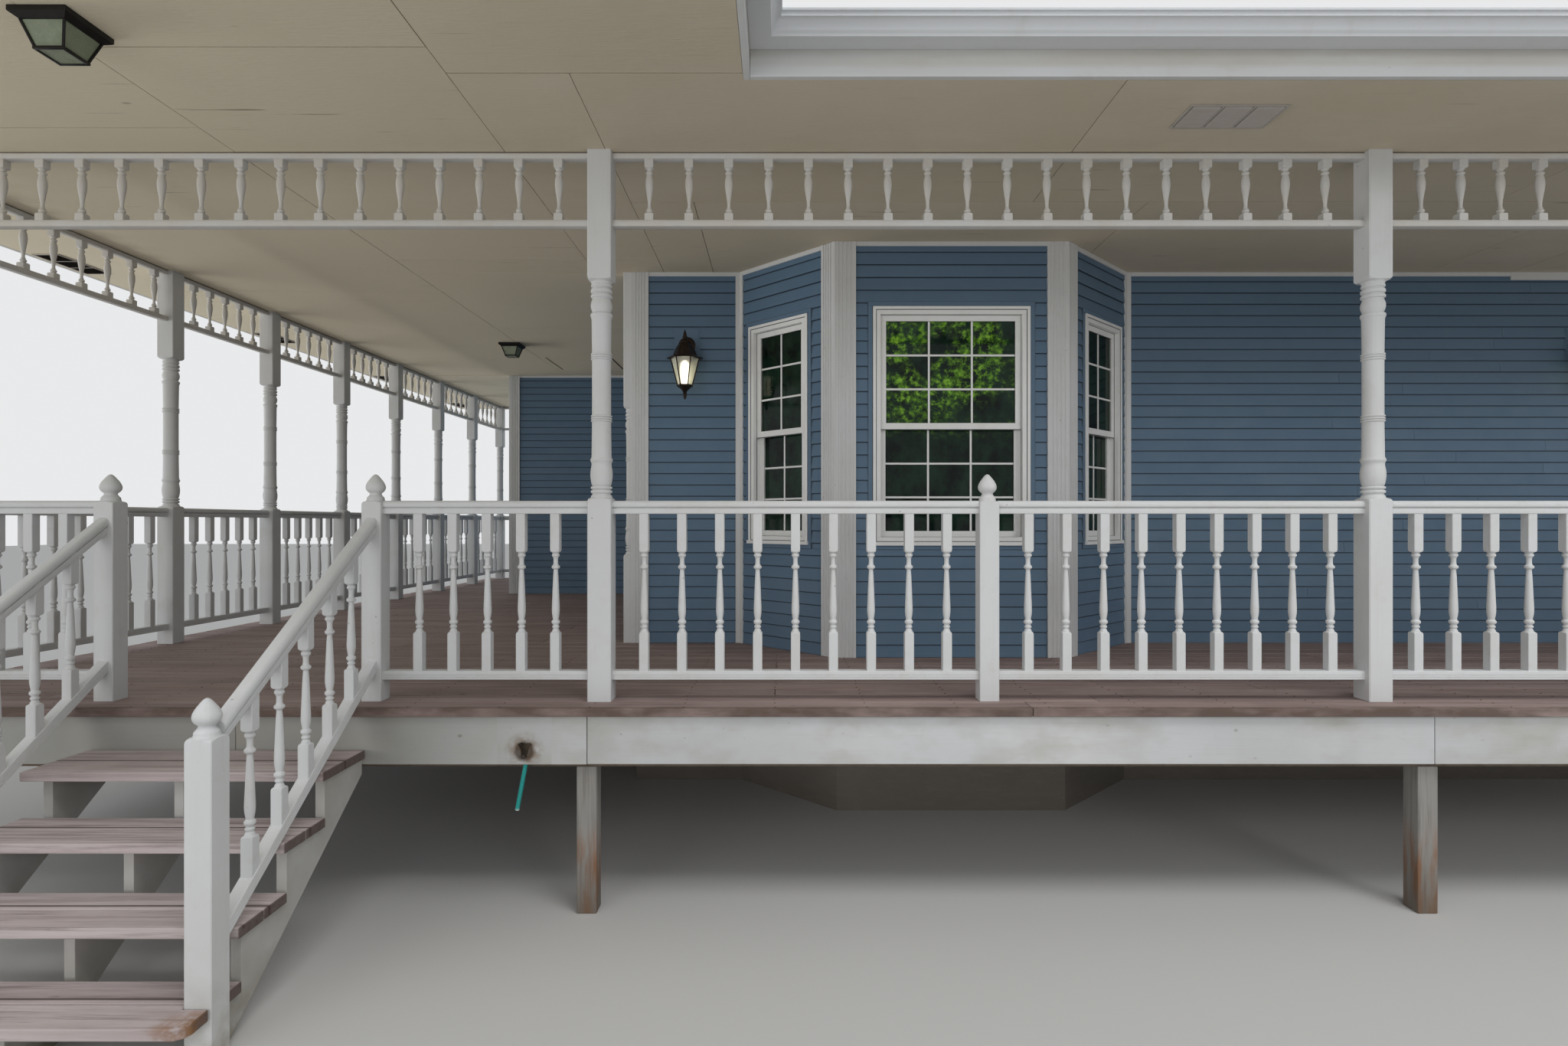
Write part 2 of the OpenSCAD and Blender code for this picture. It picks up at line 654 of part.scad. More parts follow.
// Strips in the inside corners and along the top of the walls
strip = 33;
strip_t = 12;
strip_top = 26;
module top_strip(low, high) { block([low[0], low[1], ceil_z - strip_top], [high[0], high[1], ceil_z]); }
module wall_trim() {
    color(trim_white) place() difference() {
        wall_strips();
        block([last_x - frieze_half, wall_y - pilaster_t, frieze_z], [last_x + frieze_half, wall_y, ceil_z + 1]);
        block([rear_x - pilaster_t, last_y - frieze_half, frieze_z], [rear_x, last_y + frieze_half, ceil_z + 1]);
    }
}
module wall_strips() {
    top_strip([side_x + pilaster_w - pilaster_t, wall_y - strip_t], [bay_left_x - strip, wall_y]);
    top_strip([bay_right_x + strip, wall_y - strip_t], [end_x - pilaster_w, wall_y]);
    top_strip([side_x - strip_t, wall_y + pilaster_w - pilaster_t], [side_x, return_y]);
    top_strip([rear_x + pilaster_w - pilaster_t, return_y - strip_t], [side_x - strip_t, return_y]);
    top_strip([rear_x - strip_t, return_y + pilaster_w - pilaster_t], [rear_x, roof_end_y - fascia_t]);
    top_strip([bay_x + pilaster_w, bay_y - strip_t], [bay_x + bay_w - pilaster_w, bay_y]);
    linear_extrude(ceil_z) both_bay_ends() polygon([
        [bay_left_x - strip, wall_y], [bay_left_x - strip, wall_y - strip_t],
        [bay_left_x - strip_t, wall_y - strip_t],
        [bay_left_x + strip*cos(slant) - strip_t*sin(slant), wall_y - strip*sin(slant) - strip_t*cos(slant)],
        [bay_left_x + strip*cos(slant), wall_y - strip*sin(slant)], [bay_left_x, wall_y]]);
    for (turn = [0, 1]) translate([turn*(2*bay_x + bay_w), 0, 0]) mirror([turn, 0, 0])
        translate([bay_x, bay_y, 0]) rotate([0, 0, -slant])
            top_strip([strip - bay_side, -strip_t], [-pilaster_in, 0]);
}

// Double-hung windows: a frame with an upper sash outside and a lower sash inside
frame_w = 45;
frame_out = 18;
frame_d = 100;
sash_w = 38;
sash_t = 30;
pane_t = 8;
module ring(w, h, edge, y, t) {
    difference() {
        block([-w/2, y, 0], [w/2, y + t, h]);
        block([edge - w/2, y - 1, edge], [w/2 - edge, y + t + 1, h - edge]);
    }
}
module window_frame(w) {
    inner = window_h - 2*frame_w;
    ring(w, window_h, frame_w, -frame_out, frame_d);
    translate([0, 0, frame_w]) ring(w - 2*frame_w, inner/2 + sash_w/2, sash_w, frame_out + sash_t, sash_t);
    translate([0, 0, window_h/2 - sash_w/2]) ring(w - 2*frame_w, inner/2 + sash_w/2, sash_w, frame_out, sash_t);
}
module window_frames() {
    color(trim_white) place() {
        at_front_window() window_frame(window_w);
        at_left_window() window_frame(side_window_w);
        at_right_window() window_frame(side_window_w);
    }
}
module window_panes(w) {
    edge = frame_w + sash_w;
    pane_in = (sash_t - pane_t)/2;
    half = (window_h - 2*frame_w + sash_w)/2;
    block([edge - w/2, frame_out + sash_t + pane_in, edge],
        [w/2 - edge, frame_out + sash_t + pane_in + pane_t, frame_w + half - sash_w]);
    block([edge - w/2, frame_out + pane_in, window_h - frame_w - half + sash_w],
        [w/2 - edge, frame_out + pane_in + pane_t, window_h - edge]);
}
module window_glass() {
    color("#39484c", 0.5) place() {
        at_front_window() window_panes(window_w);
        at_left_window() window_panes(side_window_w);
        at_right_window() window_panes(side_window_w);
    }
}

// Six-sided wall lanterns beside the bay and beyond it
lantern_x = [3503, 9546];
lantern_z = 1630;
lantern_out = 128;
lantern_r = 96;
glass_low_r = 50;
glass_low = 96;
glass_h = 176;
lantern_block_w = 175;
lantern_block_h = 187;
lantern_block_t = 12;
back_plate_r = 57;
back_plate_t = 14;
module lantern_blocks() {
    color(siding_blue) place() for (x = lantern_x) translate([x, wall_y, lantern_z + glass_low + glass_h + 46])
        block([-lantern_block_w/2, -lantern_block_t, 0], [lantern_block_w/2, 0, lantern_block_h]);
}
module wall_lanterns() {
    cap_z = glass_low + glass_h;
    color(lamp_black) place() for (x = lantern_x) translate([x, wall_y, lantern_z]) {
        translate([0, -lantern_block_t, cap_z + 111]) rotate([90, 0, 0]) {
            cylinder(h = back_plate_t, r = back_plate_r);
            cylinder(h = lantern_out - lantern_block_t - 10, r = 9);
        }
        translate([0, -lantern_out, 0]) {
            cylinder(h = glass_low - 15, r1 = 4, r2 = 26);
            translate([0, 0, glass_low - 15]) cylinder(h = 15, r = glass_low_r + 6, $fn = 6);
            translate([0, 0, cap_z]) cylinder(h = 16, r = 120, $fn = 6);
            translate([0, 0, cap_z + 16]) cylinder(h = 84, r1 = 100, r2 = 36);
            translate([0, 0, cap_z + 100]) cylinder(h = 22, r = 32);
            translate([0, 0, cap_z + 122]) cylinder(h = 72, r1 = 16, r2 = 4);
        }
    }
}

// Square lights flat on the ceiling, wide at the top and narrow at the bottom
light_at = [[1709, -976], [1575, 3948]];
light_w = 194;
light_foot = 107;
light_glass_h = 86;
module ceiling_lights() {
    color(lamp_black) place() for (p = light_at) translate([p[0], p[1], ceil_z]) {
        block([-light_w/2, -light_w/2, -22], [light_w/2, light_w/2, 0]);
        block([-light_foot/2, -light_foot/2, -light_glass_h - 34], [light_foot/2, light_foot/2, -light_glass_h - 22]);
    }
}
module lamp_glass() {
    color("#e9e4d4", 0.6) place() {
        for (x = lantern_x) translate([x, wall_y - lantern_out, lantern_z + glass_low])
            cylinder(h = glass_h, r1 = glass_low_r, r2 = lantern_r, $fn = 6);
        for (p = light_at) translate([p[0], p[1], ceil_z - light_glass_h - 22]) rotate([0, 0, 45])
            cylinder(h = light_glass_h, r1 = light_foot/sqrt(2) - 6, r2 = light_w/sqrt(2) - 30, $fn = 4);
    }
}

// Fascia boards: along the eaves, and low across the front of the gable and the left row's end
rake_h = 140;
module fascia_boards() {
    color(trim_white) place() {
        block([gable_r, -eave, ceil_z], [end_x, -ceil_in, fascia_top]);
        block([gable_r - fascia_t, fascia_t - gable_y, ceil_z], [gable_r, -ceil_in, fascia_top]);
        block([-eave, fascia_t - gable_y, ceil_z], [-ceil_in, roof_end_y - fascia_t, fascia_top]);
        block([end_x - fascia_t, -ceil_in, ceil_z], [end_x, wall_y, fascia_top]);
        block([-eave, -gable_y, ceil_z], [gable_r, fascia_t - gable_y, ceil_z + rake_h]);
        block([-eave, roof_end_y - fascia_t, ceil_z], [rear_x, roof_end_y, ceil_z + rake_h]);
    }
}

// Roof slopes: slabs of boards and shingles, cut plumb where they meet
reach = 20000;
module slope(plan, x, y, turn) {
    intersection() {
        translate([0, 0, ceil_z]) linear_extrude(wall_top - ceil_z) polygon(plan);
        translate([x, y, roof_z]) rotate([0, 0, turn]) rotate([pitch, 0, 0])
            translate([-reach, -reach, -roof_t]) cube([2*reach, 2*reach, roof_t]);
    }
}
module roof_left() {
    color(shingle_grey) place() slope([[-eave, -gable_y], [ridge_x, -gable_y], [ridge_x, ridge_x], [side_x, side_x],
        [side_x, return_y], [rear_x, return_y], [rear_x, roof_end_y], [-eave, roof_end_y]], -eave, 0, -90);
}
module roof_front() {
    hip = wall_y + eave;
    color(shingle_grey) place() slope([[gable_r, -eave], [end_x, -eave], [end_x - hip, wall_y], [side_x, wall_y],
        [side_x, side_x], [ridge_x, ridge_x]], 0, -eave, 0);
}
module roof_gable() {
    color(shingle_grey) place() slope([[ridge_x, -gable_y], [gable_r, -gable_y], [gable_r, -eave],
        [ridge_x, ridge_x]], gable_r, 0, 90);
}
module roof_end() {
    color(shingle_grey) place() slope([[end_x, -eave], [end_x, wall_y], [end_x - wall_y - eave, wall_y]], end_x, 0, 90);
}

// Upright ends under the roof, and the rake boards in front of them
end_in = 75;
end_t = 90;
function under(x) = fascia_top + roof_rise*(x + eave);
module upright(points, y, t) { translate([0, y + t, 0]) rotate([90, 0, 0]) linear_extrude(t) polygon(points); }
module gable_ends() {
    low = ceil_z + ceil_t;
    color(siding_blue) place() {
        upright([[-ceil_in, low], [gable_r - fascia_t, low], [gable_r - fascia_t, under(-ceil_in)],
            [ridge_x, ridge_under], [-ceil_in, under(-ceil_in)]], end_in - gable_y, end_t);
        upright([[-ceil_in, low], [rear_x, low], [rear_x, under(rear_x)], [-ceil_in, under(-ceil_in)]],
            roof_end_y - fascia_t - end_t, end_t);
    }
}
module rake_boards() {
    low = ceil_z + rake_h;
    start = (low + rake_h - fascia_top)/roof_rise;
    color(trim_white) place() {
        upright([[-eave, low], [start - eave, low], [ridge_x, ridge_under - rake_h], [gable_r - start, low],
            [gable_r, low], [gable_r, fascia_top], [ridge_x, ridge_under], [-eave, fascia_top]], -gable_y, fascia_t);
        upright([[-eave, low], [start - eave, low], [rear_x, under(rear_x) - rake_h], [rear_x, under(rear_x)],
            [-eave, fascia_top]], roof_end_y - fascia_t, fascia_t);
    }
}

// Gutters of folded metal with a stepped front, open at the top
gutter_drop = 50;
gutter_z = roof_z - gutter_drop - gutter_h;
gutter_foot = gutter_d - 40;
gutter_lip = 12;
gutter_line = [[0, gutter_h], [0, 0], [gutter_foot, 0], [gutter_foot + 8, 29], [gutter_d - 8, 54],
    [gutter_d - 8, gutter_h - gutter_lip], [gutter_d, gutter_h - gutter_lip], [gutter_d, gutter_h],
    [gutter_d - 8 - gutter_wall, gutter_h], [gutter_d - 8 - gutter_wall, 56],
    [gutter_foot + 8 - gutter_wall, 32], [gutter_foot - gutter_wall, gutter_wall],
    [gutter_wall, gutter_wall], [gutter_wall, gutter_h]];
module gutter(len) {
    rotate([90, 0, 90]) linear_extrude(len) polygon([for (p = gutter_line) [-p[0], p[1]]]);
}
module gutter_cap() {
    rotate([90, 0, 90]) linear_extrude(gutter_wall)
        polygon([for (i = [0:7]) [-gutter_line[i][0], gutter_line[i][1]]]);
}
module gutter_front() {
    color(trim_white) place() translate([0, -eave, gutter_z]) difference() {
        translate([gable_r, 0, 0]) gutter(end_x - gable_r);
        block([gable_r - 1, gutter_wall - gutter_d, gutter_wall], [gable_r + gutter_foot, -gutter_foot + gutter_wall, gutter_h + 1]);
    }
}
module gutter_gable() {
    color(trim_white) place() translate([gable_r, -gable_y, gutter_z]) rotate([0, 0, 90]) {
        gutter(gable_y - eave - gutter_d);
        gutter_cap();
    }
}
module gutter_left() {
    color(trim_white) place() translate([-eave, roof_end_y, gutter_z]) rotate([0, 0, -90]) {
        gutter(roof_end_y + gable_y);
        gutter_cap();
        translate([roof_end_y + gable_y - gutter_wall, 0, 0]) gutter_cap();
    }
}
module gutter_end() {
    color(trim_white) place() translate([end_x, -eave - gutter_d, gutter_z]) rotate([0, 0, 90]) difference() {
        union() {
            gutter(wall_y + eave + gutter_d);
            gutter_cap();
            translate([wall_y + eave + gutter_d - gutter_wall, 0, 0]) gutter_cap();
        }
        block([gutter_d - gutter_foot + gutter_wall, -gutter_wall - 1, gutter_wall], [gutter_d - gutter_wall, 1, gutter_h + 1]);
    }
}

// Short drain tube that hangs under the front rim board
tube_x = 3016;
tube_r = 9.5;
tube_len = 212;
tube_tilt = 10.7;
module drain_tube() {
    color(tube_teal) place() intersection() {
        translate([tube_x, joist_t/2 - rim_face, rim_low]) rotate([0, tube_tilt, 0])
            translate([0, 0, -tube_len]) cylinder(h = tube_len + 2*tube_r, r = tube_r);
        block([tube_x - 100, -rim_face - 100, -deck_h], [tube_x + 100, 0, rim_low]);
    }
}

foundation_front();
foundation_side();
support_posts();
floor_frame_front();
floor_frame_wing();
rim_boards();
deck_front();
deck_wing();
stair_stringers();
tread_1();
tread_2();
tread_3();
tread_4();
stair_newels();
stair_railings();
deck_newels();
front_posts();
wing_posts();
railing_left();
railing_stair();
railing_centre();
railing_right();
railing_wing();
railing_ends();
frieze_left();
frieze_centre();
frieze_right();
frieze_wing();
frieze_ends();
ceiling_front();
ceiling_gable();
ceiling_wing();
soffit_vents();
wall_front();
wall_side();
wall_return();
wall_rear();
bay_walls();
corner_pilasters();
half_post();
wall_trim();
window_frames();
window_glass();
lantern_blocks();
wall_lanterns();
ceiling_lights();
lamp_glass();
fascia_boards();
roof_left();
roof_front();
roof_gable();
roof_end();
gable_ends();
rake_boards();
gutter_front();
gutter_gable();
gutter_left();
gutter_end();
drain_tube();
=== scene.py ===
import math
import random

import bmesh
import bpy
import numpy as np
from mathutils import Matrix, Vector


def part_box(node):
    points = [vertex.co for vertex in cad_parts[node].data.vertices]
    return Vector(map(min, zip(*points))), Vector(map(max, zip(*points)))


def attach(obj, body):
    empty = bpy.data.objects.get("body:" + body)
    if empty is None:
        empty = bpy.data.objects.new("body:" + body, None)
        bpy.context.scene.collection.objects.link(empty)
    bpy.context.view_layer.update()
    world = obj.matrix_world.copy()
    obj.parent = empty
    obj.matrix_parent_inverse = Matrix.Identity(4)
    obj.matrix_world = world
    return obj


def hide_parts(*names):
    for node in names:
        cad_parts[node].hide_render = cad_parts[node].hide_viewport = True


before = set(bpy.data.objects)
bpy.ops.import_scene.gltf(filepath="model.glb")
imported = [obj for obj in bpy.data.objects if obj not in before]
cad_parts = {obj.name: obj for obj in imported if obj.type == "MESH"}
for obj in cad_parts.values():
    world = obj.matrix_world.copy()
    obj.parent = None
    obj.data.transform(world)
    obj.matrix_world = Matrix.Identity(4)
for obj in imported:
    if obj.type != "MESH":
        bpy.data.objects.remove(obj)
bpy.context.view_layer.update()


# Concrete base of the house wall.
# Cast concrete in low lifts, with faint pour lines, air holes and damp low down.
# The house walls stand on it, and only its outer face shows, under the deck.
chance = random.Random(7152)


def shade(red, green, blue):
    """A colour as it looks on the finished piece, from 0 to 255, in the shader's own linear scale."""
    return tuple(((c/255 + 0.055)/1.055)**2.4 for c in (red, green, blue)) + (1.0,)


def darker(colour, share):
    """A colour with only a share of its light."""
    return tuple(255*((c/255 + 0.055)*share**(1/2.4) - 0.055) for c in colour)


class Finish:
    """A surface finish: one ground colour, given from 0 to 255, with patterns laid over it in turn."""

    def __init__(self, name, colour, roughness, metal=0.0):
        self.material = bpy.data.materials.new(name)
        self.material.use_nodes = True
        self.tree = self.material.node_tree
        self.shader = self.tree.nodes["Principled BSDF"]
        self.shader.inputs["Roughness"].default_value = roughness
        self.shader.inputs["Metallic"].default_value = metal
        self.colour = shade(*colour)
        self.normal = None
        self.board = self.node("Attribute", {}, attribute_name="board", out="Fac")
        self.spot = self.node("TexCoord", {}, out="Object")
        shifted = {0: self.board, 1: (31, 17, 23), 2: self.spot}
        self.place = self.node("VectorMath", shifted, operation="MULTIPLY_ADD")

    def node(self, kind, inputs, out=0, **settings):
        """One shader node with its settings and inputs, and the output that is used."""
        made = self.tree.nodes.new("ShaderNode" + kind)
        for key, value in settings.items():
            setattr(made, key, value)
        for key, value in inputs.items():
            if isinstance(value, bpy.types.NodeSocket):
                self.tree.links.new(value, made.inputs[key])
            else:
                made.inputs[key].default_value = value
        return made.outputs[out]

    def noise(self, scale, stretch=(1, 1, 1), detail=4.0, harsh=0.55):
        """Cloudy pattern with blots of about 1/scale metres, drawn out along an axis by a small stretch."""
        spot = self.node("Mapping", {"Vector": self.place, "Scale": stretch})
        return self.node("TexNoise", {"Vector": spot, "Scale": scale, "Detail": detail, "Roughness": harsh})

    def cells(self, scale, stretch=(1, 1, 1)):
        """Distance from scattered points, about 1/scale metres apart."""
        spot = self.node("Mapping", {"Vector": self.place, "Scale": stretch})
        return self.node("TexVoronoi", {"Vector": spot, "Scale": scale})

    def axis(self, letter):
        """Position along one axis of the frame, in metres."""
        return self.node("SeparateXYZ", {0: self.spot}, out=letter)

    def away(self, point):
        """Distance from a point of the frame, in metres."""
        return self.node("VectorMath", {0: self.spot, 1: point}, operation="DISTANCE", out="Value")

    def level(self, pattern, low, high, top=1.0):
        """The pattern stretched so that low gives 0 and high gives top."""
        return self.node("MapRange", {0: pattern, 1: low, 2: high, 3: 0.0, 4: top})

    def times(self, one, other):
        """Where both patterns are strong."""
        return self.node("Math", {0: one, 1: other}, operation="MULTIPLY")

    def tint(self, amount, colour):
        """Lays a colour, given from 0 to 255, over what is there, as strongly as the pattern says."""
        self.colour = self.node("MixRGB", {"Fac": amount, "Color1": self.colour, "Color2": shade(*colour)})

    def clouds(self, colour, scale, low, high, top=1.0, stretch=(1, 1, 1), **fine):
        """Lays a colour where the cloudy pattern is above low, up to the strength top from high on."""
        self.tint(self.level(self.noise(scale, stretch, **fine), low, high, top), colour)

    def broken(self, colour, where, scale, low, high, top=1.0, stretch=(1, 1, 1), **fine):
        """Lays a colour where a pattern is strong, broken up by the cloudy pattern."""
        self.tint(self.times(where, self.level(self.noise(scale, stretch, **fine), low, high, top)), colour)

    def dots(self, colour, scale, edge, full, top):
        """Lays a colour round scattered points: none at the distance edge, top within the distance full."""
        self.tint(self.level(self.cells(scale), edge, full, top), colour)

    def band(self, colour, letter, start, full, top):
        """Lays a colour along an axis: none at start, top from full on."""
        self.tint(self.level(self.axis(letter), start, full, top), colour)

    def vary(self, colour, top):
        """Lays a colour more strongly on some boards than on others."""
        self.tint(self.level(self.board, 0.0, 1.0, top), colour)

    def dent(self, pattern, depth):
        """Raises the surface by the pattern, up to a depth in metres."""
        inputs = {"Height": pattern, "Distance": depth, "Strength": 1.0}
        if self.normal:
            inputs["Normal"] = self.normal
        self.normal = self.node("Bump", inputs)

    def grain(self, depth, scale, stretch=(1, 1, 1), **fine):
        """Raises the surface by the cloudy pattern."""
        self.dent(self.noise(scale, stretch, **fine), depth)

    def gloss(self, pattern, low, high):
        """Roughness that goes from low to high with the pattern."""
        rough = self.node("MapRange", {0: pattern, 1: 0.3, 2: 0.7, 3: low, 4: high})
        self.tree.links.new(rough, self.shader.inputs["Roughness"])

    def done(self):
        """Joins the colour and the bumps to the shader."""
        if isinstance(self.colour, bpy.types.NodeSocket):
            self.tree.links.new(self.colour, self.shader.inputs["Base Color"])
        else:
            self.shader.inputs["Base Color"].default_value = self.colour
        if self.normal:
            self.tree.links.new(self.normal, self.shader.inputs["Normal"])
        return self.material


def coat(material, *nodes):
    """Gives frame nodes that are shown as they are their finish."""
    for name in nodes:
        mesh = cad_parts[name].data
        mesh.materials.clear()
        mesh.materials.append(material)


concrete = Finish("cast_concrete", (126, 121, 113), 0.9)
concrete.clouds((102, 96, 88), 1.3, 0.35, 0.75, 0.5)
concrete.clouds((146, 140, 131), 9.0, 0.5, 0.8, 0.4, (1, 1, 4))
concrete.band((80, 73, 62), "Z", 0.28, 0.0, 0.45)
concrete.dots((88, 84, 78), 38.0, 0.10, 0.05, 0.6)
concrete.grain(0.0012, 160.0, detail=6.0)
concrete.dent(concrete.level(concrete.cells(38.0), 0.05, 0.12), 0.0015)
coat(concrete.done(), "foundation_front", "foundation_side")


# Floor frame and support posts.
# Unpainted softwood joists and doubled girders, weathered dark and darker still as painted shade under the
# deck.
# White painted 4x4 posts carry the girders. Their paint is worn grey and darker still as painted shade, with
# rusty streaks near the foot.
def ringed(outlines):
    """Skin over a row of point rings of the same length, closed at both ends."""
    count = len(outlines[0])
    faces = [tuple(range(count))[::-1], tuple(range((len(outlines) - 1)*count, len(outlines)*count))]
    for start in range(0, (len(outlines) - 1)*count, count):
        for i in range(count):
            j = (i + 1) % count
            faces.append((start + i, start + j, start + count + j, start + count + i))
    return np.concatenate(outlines), faces


def board(low, high, ease=0.003):
    """A straight board between two corners, its arrises eased, drawn along its longest side."""
    low, high = np.array(low, float), np.array(high, float)
    long = int(np.argmax(high - low))
    side, up = (long + 1) % 3, (long + 2) % 3
    ease = min(ease, 0.3*min(high - low))
    soft = 0.3*ease
    middle, half = (low + high)/2, (high - low)/2
    corner = [(0, ease), (soft, soft), (ease, 0)]

    def section(at, inset):
        wide, tall = half[side] - inset, half[up] - inset
        points = []
        for sign_side, sign_up, steps in ((1, 1, corner), (-1, 1, corner[::-1]), (-1, -1, corner),
                                          (1, -1, corner[::-1])):
            for a, b in steps:
                point = np.zeros(3)
                point[long] = at
                point[side] = middle[side] + sign_side*(wide - a)
                point[up] = middle[up] + sign_up*(tall - b)
                points.append(point)
        return np.array(points)

    return ringed([section(low[long], ease), section(low[long] + soft, soft), section(low[long] + ease, 0),
                   section(high[long] - ease, 0), section(high[long] - soft, soft),
                   section(high[long], ease)])


def build(name, parts, material, slot, *nodes, crease=None):
    """Joins parts into one piece, numbers each part for its grain, and ties the piece to the frame."""
    points = np.concatenate([part[0] for part in parts])
    numbers = np.concatenate([np.full(len(part[0]), chance.random()) for part in parts])
    faces, start = [], 0
    for part in parts:
        faces.extend([tuple(i + start for i in face) for face in part[1]])
        start += len(part[0])
    mesh = bpy.data.meshes.new(name)
    mesh.from_pydata(points.tolist(), [], faces)
    mesh.attributes.new("board", "FLOAT", "POINT").data.foreach_set("value", numbers.astype(np.float32))
    shape = bmesh.new()
    shape.from_mesh(mesh)
    bmesh.ops.recalc_face_normals(shape, faces=shape.faces)
    shape.to_mesh(mesh)
    shape.free()
    if crease:
        mesh.shade_smooth()
        mesh.set_sharp_from_angle(angle=math.radians(crease))
    mesh.materials.append(material)
    piece = bpy.data.objects.new(name, mesh)
    bpy.context.scene.collection.objects.link(piece)
    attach(piece, "root")
    if nodes:
        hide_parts(*nodes)
    return piece


def solids(node):
    """Low and high corners of each separate solid of a frame node, from front left to back right."""
    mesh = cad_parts[node].data
    points = np.array([v.co[:] for v in mesh.vertices])
    same = np.unique(np.round(points, 4), axis=0, return_inverse=True)[1].ravel()
    edges = same[np.array([e.vertices[:] for e in mesh.edges])]
    group = np.arange(same.max() + 1)
    while True:
        lowest = group.copy()
        np.minimum.at(lowest, edges[:, 0], group[edges[:, 1]])
        np.minimum.at(lowest, edges[:, 1], group[edges[:, 0]])
        lowest = lowest[lowest]
        if (lowest == group).all():
            break
        group = lowest
    found = [points[group[same] == g] for g in np.unique(group)]
    boxes = [(p.min(0), p.max(0)) for p in found]
    return sorted(boxes, key=lambda b: (round(b[0][1], 2), round(b[0][0], 2)))


# The dark brown ground colour is partly weathered wood and partly painted shade under the deck.
shaded_old_timber = Finish("shaded_old_frame_timber", (112, 99, 84), 0.85)
shaded_old_timber.clouds((80, 69, 57), 24, 0.4, 0.7, 0.5, (1, 0.06, 1))
shaded_old_timber.clouds((134, 122, 104), 2.0, 0.5, 0.75, 0.4)
shaded_old_timber.grain(0.001, 60, (1, 0.05, 1))
coat(shaded_old_timber.done(), "floor_frame_front", "floor_frame_wing")

# The grey ground colour is partly worn paint and partly painted shade under the deck.
worn_and_shaded_paint = Finish("worn_and_shaded_post_paint", (146, 143, 138), 0.75)
worn_and_shaded_paint.clouds((98, 94, 88), 70, 0.45, 0.7, 0.65, (1, 1, 0.04))
worn_and_shaded_paint.clouds((122, 115, 104), 5, 0.5, 0.75, 0.45, (1, 1, 0.5))
worn_and_shaded_paint.broken((140, 92, 56), worn_and_shaded_paint.level(worn_and_shaded_paint.axis("Z"), 0.42, 0.22), 26, 0.42, 0.62, 0.85,
                  (1, 1, 0.18))
worn_and_shaded_paint.band((96, 83, 70), "Z", 0.34, 0.02, 0.7)
worn_and_shaded_paint.grain(0.0012, 80, (1, 1, 0.04))
build("support_posts", [board(low, high, 0.004) for low, high in solids("support_posts")], worn_and_shaded_paint.done(),
      "trim_paint", "support_posts")


# Rim boards round the floor frame.
# White painted 2x10 boards, nailed to the joist ends and butted over the posts.
# Knots bleed through the paint, and near the stairs a ragged hole shows above the drain tube.
deck_low, deck_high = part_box("deck_front")
wing_low, wing_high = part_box("deck_wing")
rim_low, rim_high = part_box("rim_boards")
deck_top = deck_high.z
rim_t = 0.038
butt = 0.0015
first_joint_x = solids("support_posts")[1][0][0] + 0.055
hole_line = [(-0.030, 0.072), (-0.012, 0.079), (0.006, 0.074), (0.027, 0.077), (0.036, 0.068),
             (0.021, 0.052), (0.016, 0.030), (0.010, 0.010), (-0.006, 0.004), (-0.017, 0.012),
             (-0.014, 0.034), (-0.019, 0.052)]
tube_low, tube_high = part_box("drain_tube")


def thicken(shape, faces, axis, to):
    """Draws flat faces out to a thickness: their copies lie at that place on the axis."""
    raised = bmesh.ops.extrude_face_region(shape, geom=faces)["geom"]
    for corner in [v for v in raised if isinstance(v, bmesh.types.BMVert)]:
        corner.co[axis] = to


def taken_from(shape):
    """Points of a shape and its faces in a fixed order. The shape is then let go."""
    shape.verts.index_update()
    points = np.array([v.co[:] for v in shape.verts])
    faces = []
    for face in shape.faces:
        line = [v.index for v in face.verts]
        first = line.index(min(line))
        faces.append(tuple(line[first:] + line[:first]))
    shape.free()
    return points, sorted(faces)


def pierced(outline, hole, y0, y1):
    """An upright board with a hole, cut from an outline in x and z."""
    shape = bmesh.new()
    edges = []
    for line in (outline, hole):
        corners = [shape.verts.new((x, y0, z)) for x, z in line]
        edges += [shape.edges.new((corners[i - 1], corners[i])) for i in range(len(corners))]
    filled = bmesh.ops.triangle_fill(shape, edges=edges, use_beauty=True)["geom"]
    faces = [f for f in filled if isinstance(f, bmesh.types.BMFace)]
    thicken(shape, faces, 1, y1)
    return taken_from(shape)


hole_x = (tube_low.x + tube_high.x)/2 + 0.018
hole_z = rim_low.z + 0.018
rim_parts = []
cuts = [rim_low.x, rim_low.x + 1.9, first_joint_x, first_joint_x + 3.74, rim_high.x]
for k in range(4):
    x0, x1 = cuts[k] + (butt if k else 0), cuts[k + 1] - (butt if k < 3 else 0)
    if x0 < hole_x < x1:
        near, far = hole_x - 0.12, hole_x + 0.12
        for a, b in ((x0, near), (far, x1)):
            rim_parts.append(board((a, rim_low.y, rim_low.z), (b, rim_low.y + rim_t, rim_high.z), 0.0001))
        outline = [(near, rim_low.z), (far, rim_low.z), (far, rim_high.z), (near, rim_high.z)]
        rim_parts.append(pierced(outline, [(hole_x + x, hole_z + z) for x, z in hole_line], rim_low.y,
                                 rim_low.y + rim_t))
    else:
        rim_parts.append(board((x0, rim_low.y, rim_low.z), (x1, rim_low.y + rim_t, rim_high.z)))
rim_parts.append(board((rim_low.x, rim_low.y + rim_t + butt, rim_low.z),
                       (rim_low.x + rim_t, 0.6, rim_high.z)))
rim_parts.append(board((rim_low.x, 0.6 + butt, rim_low.z), (rim_low.x + rim_t, rim_high.y, rim_high.z)))
wall_left_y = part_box("wall_front")[0].y
rim_parts.append(board((rim_high.x - rim_t, rim_low.y + rim_t + butt, rim_low.z),
                       (rim_high.x, wall_left_y, rim_high.z)))
rim_parts.append(board((rim_low.x + rim_t + butt, rim_high.y - rim_t, rim_low.z),
                       (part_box("wall_rear")[0].x, rim_high.y, rim_high.z)))


